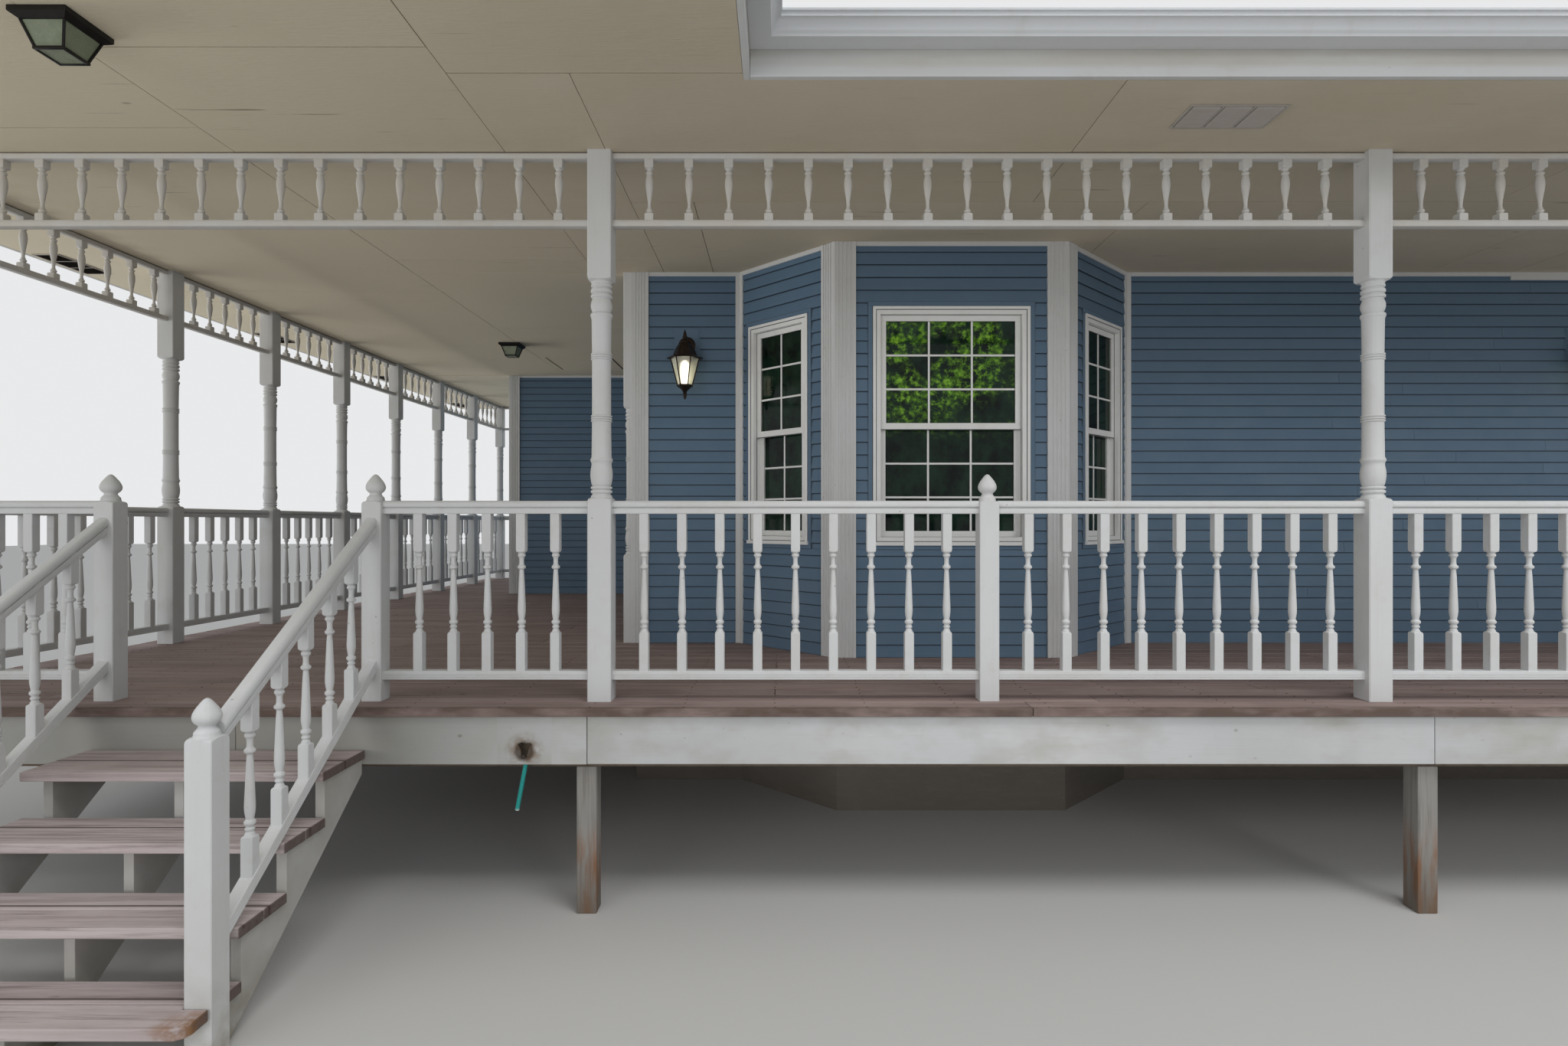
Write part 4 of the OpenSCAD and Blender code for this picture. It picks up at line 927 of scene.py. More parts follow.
ceiling_paint = Finish("ceiling_paint", (204, 192, 172), 0.8)
ceiling_paint.clouds((190, 182, 156), 1.1, 0.35, 0.7, 0.5)
ceiling_paint.clouds((212, 203, 187), 3.4, 0.5, 0.8, 0.35, (0.35, 1, 1), harsh=0.7)
ceiling_paint.clouds((168, 158, 134), 42, 0.62, 0.8, 0.3, (0.07, 1, 1))
# Paler and warmer towards the left wing: painted light, for the brighter wing ceiling.
ceiling_paint.band((236, 226, 200), "X", -1.6, -3.4, 0.6)
marks = ceiling_paint.times(ceiling_paint.level(ceiling_paint.cells(3.2, (0.6, 1.6, 1)), 0.05, 0.02),
                            ceiling_paint.level(ceiling_paint.noise(1.7), 0.5, 0.56, 0.6))
ceiling_paint.tint(marks, (140, 128, 106))
ceiling_paint.broken((92, 80, 62),
                     ceiling_paint.level(ceiling_paint.noise(44, (0.03, 1, 1), detail=3), 0.69, 0.73), 1.3,
                     0.48, 0.56, 0.6)
ceiling_paint.grain(0.0012, 180, (0.10, 1, 1), detail=5)
ceiling_finish = ceiling_paint.done()
split_x, cross_x, strip_x = -2.330, -3.567, -1.864
row_y, gable_row_y, soffit_row_y = -3.520, -4.110, -3.940
second_row_y, join_y = -2.720, -1.780
ceiling_parts = [sheet(left_x, cross_x, gable_low.y, row_y),
                 sheet(cross_x, split_x, gable_low.y, gable_row_y),
                 sheet(cross_x, split_x, gable_row_y, join_y), sheet(left_x, cross_x, row_y, -1.082),
                 sheet(split_x, gable_high.x, gable_low.y, soffit_row_y),
                 sheet(split_x, strip_x, soffit_row_y, join_y)]
near_sheet = [(strip_x + seam/2, soffit_row_y + seam/2), (gable_high.x, soffit_row_y + seam/2),
              (gable_high.x, front_y), (0.265 - seam/2, front_y), (0.265 - seam/2, second_row_y - seam/2),
              (strip_x + seam/2, second_row_y - seam/2)]
ceiling_parts.append(slab(near_sheet, ceil_low.z, ceil_high.z, 0.0012))
front_marks = [0.265, 2.703, 5.141, end_x]
ceiling_parts += [sheet(a, b, front_y, second_row_y) for a, b in zip(front_marks, front_marks[1:])]
rear_marks = [strip_x, -1.530, 0.878, 3.300, 3.870, end_x]
ceiling_parts += [sheet(a, b, second_row_y, back_y) for a, b in zip(rear_marks, rear_marks[1:])]
ceiling_parts.append(sheet(split_x, strip_x, join_y, back_y))
ceiling_parts += [sheet(cross_x, split_x, join_y, back_y), sheet(cross_x, side_x, back_y, 0.040),
                  sheet(cross_x, side_x, 0.040, hatch_y[0])]
ceiling_parts += [sheet(cross_x, hatch_x[0] - hatch_gap/2, *hatch_y),
                  sheet(hatch_x[1] + hatch_gap/2, side_x, *hatch_y),
                  sheet(hatch_x[0] + hatch_gap/2, hatch_x[1] - hatch_gap/2, *hatch_y),
                  sheet(cross_x, side_x, hatch_y[1], return_y)]
side_marks = [-1.082, 1.356, return_y]
ceiling_parts += [sheet(left_x, cross_x, a, b) for a, b in zip(side_marks, side_marks[1:])]
end_marks = [return_y, 3.794, wing_ceil.y]
ceiling_parts += [sheet(left_x, rear_x, a, b) for a, b in zip(end_marks, end_marks[1:])]
build("ceiling_sheets", ceiling_parts, ceiling_finish, "ceiling_paint", "ceiling_front", "ceiling_gable",
      "ceiling_wing")


def louvred(low, high, parts, slats, shadows):
    """A vent: a thin flanged frame, two dividers, slats that slope up into the opening, and a dark sheet of
    painted shade.
    """
    rim, slat = 0.011, 0.0012
    long = 0 if high[0] - low[0] > high[1] - low[1] else 1
    other = 1 - long
    length, width = high[long] - low[long], high[other] - low[other]

    def plate(a0, a1, b0, b1, c0, c1):
        one, two = [0.0]*3, [0.0]*3
        one[long], two[long] = low[long] + a0, low[long] + a1
        one[other], two[other] = low[other] + b0, low[other] + b1
        one[2], two[2] = c0, c1
        return board(one, two, 0.0006)

    bottom, top = low[2], high[2]
    for b0, b1 in ((0, rim), (width - rim, width)):
        parts.append(plate(0, length, b0, b1, bottom + 0.003, top))
    panel = (length - 4*rim)/3
    for k in range(4):
        a0 = k*(panel + rim)
        parts.append(plate(a0, a0 + rim, rim, width - rim, bottom + 0.003, top))
    for k in range(3):
        a0 = rim + k*(panel + rim)
        for b in np.arange(rim + 0.003, width - rim - 0.010, 0.0096):
            tilt = plate(a0 + 0.003, a0 + panel - 0.003, b, b + 0.0094, bottom, bottom + slat)
            points = tilt[0].copy()
            points[:, 2] += (low[other] + b + 0.0094 - points[:, other])*0.55
            slats.append((points, tilt[1]))
    # A dark sheet over the slats stands for the shade inside the roof: painted shade.
    shadows.append(plate(rim/2, length - rim/2, rim/2, width - rim/2, top - 0.0012, top))


vent_parts, dark_vent_parts, shadows = [], [], []
for low, high in solids("soffit_vents"):
    louvred(low, high, vent_parts, vent_parts if high[0] - low[0] > high[1] - low[1] else dark_vent_parts,
            shadows)
vent_metal = Finish("vent_metal", (178, 171, 164), 0.5)
vent_metal.clouds((160, 150, 136), 14, 0.45, 0.75, 0.4)
vent_metal.grain(0.0002, 60)
# The slats of the vents along the side get a much darker copy of the vent metal: painted shade.
vent_metal_in_shade = Finish("shaded_vent_metal", (78, 72, 62), 0.6)
vent_metal_in_shade.clouds((46, 43, 38), 40, 0.45, 0.75, 0.6)
# Dark finish of the sheets over the vents: painted shade of the roof space.
vent_shade = Finish("vent_shade_sheet", (62, 57, 50), 0.9)
vent_shade.clouds((44, 41, 36), 300, 0.4, 0.7, 0.5)
build("soffit_vents", vent_parts, vent_metal.done(), "vent_metal", "soffit_vents")
build("soffit_vents_left", dark_vent_parts, vent_metal_in_shade.done(), "vent_metal")
build("vent_shade_sheets", shadows, vent_shade.done(), "vent_metal")


# House wall cladding.
# Slate blue lap siding in 3 inch courses over sheathing, each course lapped over the one below.
# The lengths are butted here and there, and a flat strip of the same colour frames each window.
course = 0.0766
lap_t = 0.0085
wall_low, wall_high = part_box("wall_front")
base_z, wall_top = wall_low.z, wall_high.z
ceil_z = ceil_low.z


def at_wall(start, way, out, points):
    """Points given along a wall, out from it and up, in the frame."""
    p = np.array(points)
    return np.stack([start[0] + way[0]*p[:, 0] + out[0]*p[:, 1], start[1] + way[1]*p[:, 0] + out[1]*p[:, 1],
                     p[:, 2]], 1)


def ways(start, end):
    """Length of a wall from its left end to its right end, the way along it and the way out of it."""
    length = math.dist(start, end)
    way = ((end[0] - start[0])/length, (end[1] - start[1])/length)
    return length, way, (way[1], -way[0])


def cladding(start, end, z0, z1, holes=()):
    """Lap courses on a wall, from its left end to its right end seen from outside, around holes."""
    length, way, out = ways(start, end)
    parts = []
    first = math.floor((z0 - deck_top)/course)
    z = deck_top + first*course
    while z < z1 - 0.004:
        low, high = max(z, z0), min(z + course, z1)
        joint = chance.uniform(0.25, 0.75)*length
        cuts = sorted({low, high} | {v for hole in holes for v in hole[2:] if low
                                     + 0.001 < v < high - 0.001})
        for low, high in zip(cuts, cuts[1:]):
            spans = [(0.0, length)]
            for u0, u1, v0, v1 in holes:
                if v0 < high - 0.0005 and v1 > low + 0.0005:
                    spans = [side for a, b in spans for side in ((a, min(b, u0)), (max(a, u1), b))
                             if side[1] - side[0] > 0.003]
            if length > 2.2:
                spans = [side for a, b in spans for side in ((a, joint - 0.0008), (joint + 0.0008, b))
                         if side[0] < side[1]]
            lift = lap_t*(1 - (low - z)/course)
            tip = lap_t*(1 - (high - z)/course) + 0.0008
            line = [(0.0, low), (lift - 0.0012, low), (lift, low + 0.0015), (tip, high), (0.0, high)]
            for ends in spans:
                parts.append(ringed([at_wall(start, way, out, [(u, o, v) for o, v in line]) for u in ends]))
        z += course
    return parts


window_places = []
window_z, window_h = 0.680 + deck_top, 1.440
window_w, side_window_w, side_window_in = 0.950, 0.535, 0.222
surround = 0.028


def wall_of_window(start, end, from_left, wide):
    """Notes a window in a wall and returns the hole to leave in the cladding."""
    way, out = ways(start, end)[1:]
    window_places.append((start, way, out, from_left, wide))
    return (from_left - wide/2 - surround, from_left + wide/2 + surround, window_z - surround, window_z
            + window_h + surround)


bay_w = bay_right_x - bay_left_x
slant_l = math.dist((bay_end_left_x, wall_y), (bay_left_x, bay_y))
side_middle = side_window_in + side_window_w/2
left_slant = ((bay_end_left_x, wall_y), (bay_left_x, bay_y))
bay_face = ((bay_left_x, bay_y), (bay_right_x, bay_y))
right_slant = ((bay_right_x, bay_y), (bay_end_right_x, wall_y))
siding_parts = cladding(*left_slant, base_z, ceil_z,
                        [wall_of_window(*left_slant, slant_l - side_middle, side_window_w)])
siding_parts += cladding(*bay_face, base_z, ceil_z, [wall_of_window(*bay_face, bay_w/2, window_w)])
siding_parts += cladding(*right_slant, base_z, ceil_z,
                         [wall_of_window(*right_slant, side_middle, side_window_w)])


def blue_paint(name, lap_shadows):
    """Slate blue with a fine grain. The kind with lap shadows has a painted shadow under the butt of each
    course.
    """
    blue = Finish(name, (92, 116, 138), 0.5)
    blue.vary((74, 96, 116), 0.12)
    blue.clouds((102, 127, 147), 1.4, 0.42, 0.75, 0.3)
    blue.clouds((76, 99, 118), 6, 0.52, 0.8, 0.25, harsh=0.7)
    blue.clouds((106, 130, 150), 60, 0.55, 0.8, 0.18, (0.06, 0.06, 1))
    if lap_shadows:
        # Painted shadow: a dark band under the butt of each course.
        up = blue.node("Math", {0: blue.axis("Z"), 1: deck_top}, operation="SUBTRACT")
        up = blue.node("Math", {0: up, 1: course}, operation="DIVIDE")
        blue.tint(blue.level(blue.node("Math", {0: up}, operation="FRACT"), 0.88, 0.96, 0.85), (26, 34, 42))
    blue.grain(0.0006, 140, (0.05, 0.05, 1), detail=5)
    blue.gloss(blue.noise(5), 0.42, 0.62)
    return blue.done()


siding_finish = blue_paint("siding_blue", True)
flat_blue = blue_paint("flat_blue", False)
build("bay_siding", siding_parts, siding_finish, "siding")
wall_end_x = wall_high.x
rear_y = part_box("wall_rear")[1].y
upper_z = ceil_z + 0.25


def whole_wall(start, end):
    """Courses below the porch ceiling, and again where the wall comes out above the porch roof."""
    return cladding(start, end, base_z, ceil_z) + cladding(start, end, upper_z, wall_top)


wall_parts = cladding((side_x, wall_y), (bay_end_left_x, wall_y), base_z, ceil_z)
wall_parts += cladding((bay_end_right_x, wall_y), (wall_end_x, wall_y), base_z, ceil_z)
wall_parts += cladding((side_x, wall_y), (wall_end_x, wall_y), upper_z, wall_top)
build("front_siding", wall_parts, siding_finish, "siding")
build("side_siding", whole_wall((side_x, return_y), (side_x, wall_y)), siding_finish, "siding")
back_parts = whole_wall((rear_x, return_y), (side_x, return_y))
back_parts += whole_wall((rear_x, rear_y), (rear_x, return_y))
build("back_siding", back_parts, siding_finish, "siding")
sheathing = Finish("wall_sheathing", (178, 168, 148), 0.85)
sheathing.clouds((156, 143, 120), 3, 0.4, 0.75, 0.5, (1, 1, 0.5))
sheathing.dots((196, 186, 166), 46, 0.16, 0.05, 0.35)
round_house = sheathing.node("Math", {0: sheathing.axis("X"), 1: sheathing.axis("Y")}, operation="ADD")
panel_edge = sheathing.node("Math", {0: round_house, 1: 0.61}, operation="PINGPONG")
panel_top = sheathing.node("Math", {0: sheathing.axis("Z"), 1: 1.22}, operation="PINGPONG")
sheathing.tint(sheathing.level(panel_edge, 0.004, 0.001, 0.8), (70, 60, 46))
sheathing.tint(sheathing.level(panel_top, 0.004, 0.001, 0.8), (70, 60, 46))
stud_line = sheathing.node("Math", {0: round_house, 1: 0.2033}, operation="PINGPONG")
nail_row = sheathing.node("Math", {0: sheathing.axis("Z"), 1: 0.075}, operation="PINGPONG")
by_stud = sheathing.level(stud_line, 0.006, 0.004)
by_row = sheathing.level(nail_row, 0.006, 0.004, 0.8)
sheathing.tint(sheathing.times(by_stud, by_row), (78, 66, 54))
sheathing.dent(sheathing.cells(60), 0.0012)
coat(sheathing.done(), "wall_front", "wall_side", "wall_return", "wall_rear", "bay_walls")


# Corner boards and strips.
# White fluted corner boards on the house and the bay, with thin strips in the inside corners.
# A narrow strip closes the joint between siding and ceiling.
board_w = 0.122


def fluted(wide, thick, flutes, margin=0.012):
    """Outline of a fluted board across its width: plain edges and round flutes between."""
    pitch_w = (wide - 2*margin)/flutes
    line = [(0.0, 0.0), (0.0, thick)]
    for k in range(flutes):
        left = margin + k*pitch_w + 0.003
        right = left + pitch_w - 0.006
        line += [(left, thick)]
        line += [((left + right)/2 - math.cos(a)*(right - left)/2, thick - 0.0060*math.sin(a))
                 for a in np.linspace(0.4, math.pi - 0.4, 5)]
        line += [(right, thick)]
    return line + [(wide, thick), (wide, 0.0)]


def stood(outline, start, way, z0, z1):
    """A moulding stood against a wall, its outline across the wall and out from it."""
    out = (way[1], -way[0])
    return ringed([at_wall(start, way, out, [(a, b, z) for a, b in outline]) for z in (z0, z1)])


board_t = 0.020
corner_parts = []
slant_way = ((bay_left_x - bay_end_left_x)/slant_l, (bay_y - wall_y)/slant_l)
right_way = ((bay_end_right_x - bay_right_x)/slant_l, (wall_y - bay_y)/slant_l)
bay_board = 0.100


def corner_pair(corner, way_in, wide_in, way_out, wide_out, z1):
    """Two fluted boards that meet on an outside corner, left and right of it."""
    start = (corner[0] - way_in[0]*wide_in, corner[1] - way_in[1]*wide_in)
    return [stood(fluted(wide_in, board_t, 4), start, way_in, deck_top, z1),
            stood(fluted(wide_out, board_t, 4), corner, way_out, deck_top, z1)]


corner_parts += corner_pair((side_x, wall_y), (0, -1), board_w - board_t, (1, 0), board_w - board_t, ceil_z)
corner_parts += corner_pair((rear_x, return_y), (0, -1), board_w - board_t, (1, 0), board_w - board_t,
                            ceil_z)
corner_parts += corner_pair((bay_left_x, bay_y), slant_way, bay_board, (1, 0), board_w, ceil_z)
corner_parts += corner_pair((bay_right_x, bay_y), (1, 0), board_w, right_way, bay_board, ceil_z)
corner_parts.append(stood(fluted(board_w, board_t, 4), (wall_end_x - board_w, wall_y), (1, 0), deck_top,
                          ceil_z))
for x, y, way_in, way_out in ((side_x, wall_y, (0, -1), (1, 0)), (rear_x, return_y, (0, -1), (1, 0)),
                              (bay_left_x, bay_y, slant_way, (1, 0)),
                              (bay_right_x, bay_y, (1, 0), right_way)):
    out_in, out_out = (way_in[1], -way_in[0]), (way_out[1], -way_out[0])
    bisect = np.array([out_in[0] + out_out[0], out_in[1] + out_out[1]])
    reach = board_t*bisect/(1 + out_in[0]*out_out[0] + out_in[1]*out_out[1])
    line = [(x, y), (x + board_t*out_in[0], y + board_t*out_in[1]), (x + reach[0], y + reach[1]),
            (x + board_t*out_out[0], y + board_t*out_out[1])]
    corner_parts.append(slab(line, deck_top, ceil_z, 0.002))
trim_paint = white_paint("corner_board_paint", (1, 1, 0.05), 0.8).done()
build("corner_boards", corner_parts, trim_paint, "trim_paint", "corner_pilasters")

strip_w, strip_t = 0.033, 0.014
strip_parts = []
quirk = [(0.0, 0.0), (0.0, strip_t - 0.002), (0.002, strip_t), (strip_w - 0.002, strip_t),
         (strip_w, strip_t - 0.002), (strip_w, 0.0)]
for start, way in (((bay_end_left_x - strip_w, wall_y), (1, 0)), ((bay_end_left_x, wall_y), slant_way),
                   ((bay_end_right_x, wall_y), (1, 0)),
                   ((bay_end_right_x - right_way[0]*strip_w, wall_y - right_way[1]*strip_w), right_way)):
    strip_parts.append(stood(quirk, start, way, deck_top, ceil_z))


def top_strip(start, end, top_h=0.026):
    """A thin strip along the top of a wall."""
    length, way, out = ways(start, end)
    low_z = ceil_z - top_h
    section = [(0.0, low_z), (strip_t - 0.002, low_z), (strip_t, low_z + 0.002), (strip_t, ceil_z),
               (0.0, ceil_z)]
    rings = [at_wall(start, way, out, [(u, o, v) for o, v in section]) for u in (0.0, length)]
    strip_parts.append(ringed(rings))


top_strip((side_x + board_w - board_t, wall_y), (bay_end_left_x - strip_w, wall_y))
top_strip((bay_end_right_x + strip_w, wall_y), (3.870, wall_y))
top_strip((3.8715, wall_y), (wall_end_x - board_w, wall_y), 0.052)
top_strip((side_x, return_y), (side_x, wall_y + board_w - board_t))
top_strip((rear_x + board_w - board_t, return_y), (side_x, return_y))
top_strip((rear_x, rear_y - 0.03), (rear_x, return_y + board_w - board_t))
top_strip((bay_left_x + board_w, bay_y), (bay_right_x - board_w, bay_y))
top_strip((bay_end_left_x + slant_way[0]*strip_w, wall_y + slant_way[1]*strip_w),
          (bay_left_x - slant_way[0]*bay_board, bay_y - slant_way[1]*bay_board))
top_strip((bay_right_x + right_way[0]*bay_board, bay_y + right_way[1]*bay_board),
          (bay_end_right_x - right_way[0]*strip_w, wall_y - right_way[1]*strip_w))
build("wall_strips", strip_parts, trim_paint, "trim_paint", "wall_trim")


# Windows in the bay.
# White vinyl double-hung windows: a stepped frame, the upper sash outside and the lower one inside.
# Bars divide each pane, and a flat blue strip goes round the frame. Behind the glass a dark sheet stands for
# the dark room, as painted shade.
frame_w, frame_out, frame_d = 0.045, 0.018, 0.100
sash_w, sash_t = 0.038, 0.030
bar_w = 0.0125


class Opening:
    """Measures in one window's own place: across from its middle, out from the wall, up from its sill."""

    def __init__(self, start, way, out, middle):
        self.start, self.way, self.out, self.middle = start, way, out, middle

    def box(self, a0, a1, o0, o1, v0, v1, ease=0.0015):
        points, faces = board((a0, o0, v0), (a1, o1, v1), ease)
        points = points + np.array([self.middle, 0, window_z])
        return at_wall(self.start, self.way, self.out, points), faces

    def ring(self, wide, tall, edge, o0, o1, lift=0.0, ease=0.0015):
        """Four sides round a rectangle."""
        return [self.box(-wide/2, wide/2, o0, o1, lift, lift + edge, ease),
                self.box(-wide/2, wide/2, o0, o1, lift + tall - edge, lift + tall, ease),
                self.box(-wide/2, -wide/2 + edge, o0, o1, lift + edge, lift + tall - edge, ease),
                self.box(wide/2 - edge, wide/2, o0, o1, lift + edge, lift + tall - edge, ease)]


vinyl_parts, glass_parts, surround_parts, shade_parts, shadow_line_parts = [], [], [], [], []
for start, way, out, middle, wide in window_places:
    here = Opening(start, way, out, middle)
    vinyl_parts += here.ring(wide, window_h, 0.018, frame_out - 0.006, frame_out, 0.0)
    vinyl_parts += here.ring(wide - 0.004, window_h - 0.004, frame_w, -0.020, frame_out - 0.006, 0.002)
    vinyl_parts += here.ring(wide - 0.056, window_h - 0.056, 0.018, -frame_d + frame_out, -0.018, 0.028)
    vinyl_parts.append(here.box(-wide/2 - 0.006, wide/2 + 0.006, -0.01, frame_out + 0.010, -0.004, 0.018))
    inner = window_h - 2*frame_w
    sash_h = inner/2 + sash_w/2
    columns = 3 if wide > 0.7 else 2
    for lift, o1 in ((frame_w, -frame_out - sash_t), (window_h - frame_w - sash_h, -frame_out)):
        sash_wide = wide - 2*frame_w
        vinyl_parts += here.ring(sash_wide, sash_h, sash_w, o1 - sash_t, o1, lift)
        vinyl_parts += here.ring(sash_wide - 2*sash_w + 0.012, sash_h - 2*sash_w + 0.012, 0.006, o1 - 0.018,
                                 o1 - 0.006, lift + sash_w - 0.006, 0.001)
        pane_w, pane_h = sash_wide - 2*sash_w, sash_h - 2*sash_w
        glass_at = o1 - sash_t/2
        glass_parts.append(here.box(-pane_w/2 - 0.004, pane_w/2 + 0.004, glass_at - 0.003, glass_at + 0.001,
                                    lift + sash_w - 0.004, lift + sash_h - sash_w + 0.004, 0.0005))
        for c in range(1, columns):
            x = -pane_w/2 + pane_w*c/columns
            vinyl_parts.append(here.box(x - bar_w/2, x + bar_w/2, glass_at + 0.001, glass_at + 0.007,
                                        lift + sash_w, lift + sash_h - sash_w, 0.002))
        for r in (1, 2):
            v = lift + sash_w + pane_h*r/3
            vinyl_parts.append(here.box(-pane_w/2, pane_w/2, glass_at + 0.0012, glass_at + 0.0075,
                                        v - bar_w/2, v + bar_w/2, 0.002))
    # Grey strips between frame and sash, between the sashes and round the blue strip: grey channels, and
    # painted shadow lines in the gaps.
    shadow_line_parts += here.ring(sash_wide + 0.003, inner + 0.003, 0.005, -frame_out - 0.002, -frame_out + 0.003,
                             frame_w - 0.0015, 0.0005)
    shadow_line_parts += here.ring(wide - 0.036, window_h - 0.036, 0.004, frame_out - 0.0065, frame_out - 0.0045,
                             0.018, 0.0004)
    shadow_line_parts += here.ring(wide + 2*surround + 0.004, window_h + 2*surround + 0.004, 0.004, 0.0, 0.0095,
                             -surround - 0.002, 0.0004)
    shadow_line_parts.append(here.box(-sash_wide/2, sash_wide/2, -frame_out - 0.001, -frame_out + 0.002,
                                window_h - frame_w - sash_h - 0.004, window_h - frame_w - sash_h, 0.0005))
    surround_parts += here.ring(wide + 2*surround, window_h + 2*surround, surround - 0.003, 0.0, 0.011,
                                -surround)
    # A dark sheet behind each window: painted shade of the unlit room.
    shade_parts.append(here.box(-wide/2 + 0.05, wide/2 - 0.05, -0.150, -0.140, 0.04, window_h - 0.04, 0.001))
vinyl = Finish("window_vinyl", (236, 236, 234), 0.38)
vinyl.clouds((206, 203, 195), 9, 0.5, 0.8, 0.25)
vinyl.clouds((186, 182, 172), 80, 0.62, 0.8, 0.2)
vinyl.grain(0.0001, 200)
build("window_frames", vinyl_parts, vinyl.done(), "window_vinyl", "window_frames")
# Green mottling on all panes, and bright leaf clusters in the upper sash of the middle window: painted
# reflections of trees.
glass = Finish("window_glass", (10, 18, 16), 0.05)
glass.clouds((36, 62, 48), 4.5, 0.40, 0.66, 0.9, (1, 1, 0.8), detail=8, harsh=0.72)
glass.clouds((22, 48, 34), 11, 0.50, 0.62, 0.7, detail=9, harsh=0.8)
reflected_leaves = glass.times(glass.level(glass.noise(17, detail=9, harsh=0.8), 0.46, 0.60),
                     glass.level(glass.axis("Z"), 2.25, 2.5))
reflected_leaf_clusters = glass.times(reflected_leaves, glass.level(glass.noise(2.6, detail=2), 0.40, 0.52))
middle = glass.times(glass.level(glass.axis("X"), -0.72, -0.68), glass.level(glass.axis("X"), 0.56, 0.52))
glass.tint(glass.times(reflected_leaf_clusters, middle), (98, 150, 40))
glass.broken((140, 192, 62), glass.times(reflected_leaf_clusters, middle), 34, 0.52, 0.66, detail=6)
glass.shader.inputs["Specular IOR Level"].default_value = 0.15
glass.grain(0.0004, 6)
build("window_glass", glass_parts, glass.done(), "window_glass", "window_glass")
build("window_surrounds", surround_parts, flat_blue, "siding")
# Grey channel colour, darkened as painted shadow in the gaps.
gasket_and_shadow = Finish("grey_gasket_and_shadow", (84, 88, 92), 0.6)
gasket_and_shadow.clouds((58, 62, 66), 30, 0.4, 0.7, 0.5)
gasket_and_shadow.grain(0.0001, 90)
build("window_shadow_lines", shadow_line_parts, gasket_and_shadow.done(), "window_vinyl")
# Painted shade of the room behind the glass.
room_shade = Finish("painted_room_shade", (44, 42, 40), 0.9)
room_shade.clouds((60, 57, 52), 30, 0.4, 0.7, 0.5, (0.2, 1, 1))
room_shade.grain(0.0005, 60)
build("window_room_shade", shade_parts, room_shade.done(), "window_vinyl")


# Wall lanterns.
# Six-sided cast lanterns in dark bronze on a block of siding, with a bell roof above and a drop below.
# Frosted panes taper downwards round a tall lamp, which is lit.
def lofted(profile, sides, at, turn=0.0):
    """Stacked rings of few sides: a cast roof, cup or drop."""
    marks = np.arange(sides)*2*math.pi/sides + turn
    rings = [np.stack([at[0] + r*np.cos(marks), at[1] + r*np.sin(marks), np.full(sides, at[2] + z)], 1)
             for z, r in profile]
    return ringed(rings)


def tube(path, radius, sides=10):
    """A round rod along a path, given as points."""
    path = np.array(path, float)
    way = np.gradient(path, axis=0)
    way /= np.linalg.norm(way, axis=1)[:, None]
    lean = np.array([1.0, 0.0, 0.0]) if abs(way[0][0]) < 0.9 else np.array([0.0, 1.0, 0.0])
    marks = np.arange(sides)*2*math.pi/sides
    rings = []
    radii = radius if hasattr(radius, "__len__") else [radius]*len(path)
    for point, d, r in zip(path, way, radii):
        one = np.cross(d, lean)
        one /= np.linalg.norm(one)
        two = np.cross(d, one)
        rings.append(point + r*(np.outer(np.cos(marks), one) + np.outer(np.sin(marks), two)))
    return ringed(rings)


def pane(corners, facing, thick):
    """A flat sheet with four outer corners that faces outwards at an angle in plan."""
    outer = np.array(corners)
    inward = np.array([math.cos(facing), math.sin(facing), 0.0])*thick
    sides = [(0, 1, 2, 3), (7, 6, 5, 4), (0, 4, 5, 1), (1, 5, 6, 2), (2, 6, 7, 3), (3, 7, 4, 0)]
    return np.concatenate([outer, outer - inward]), sides


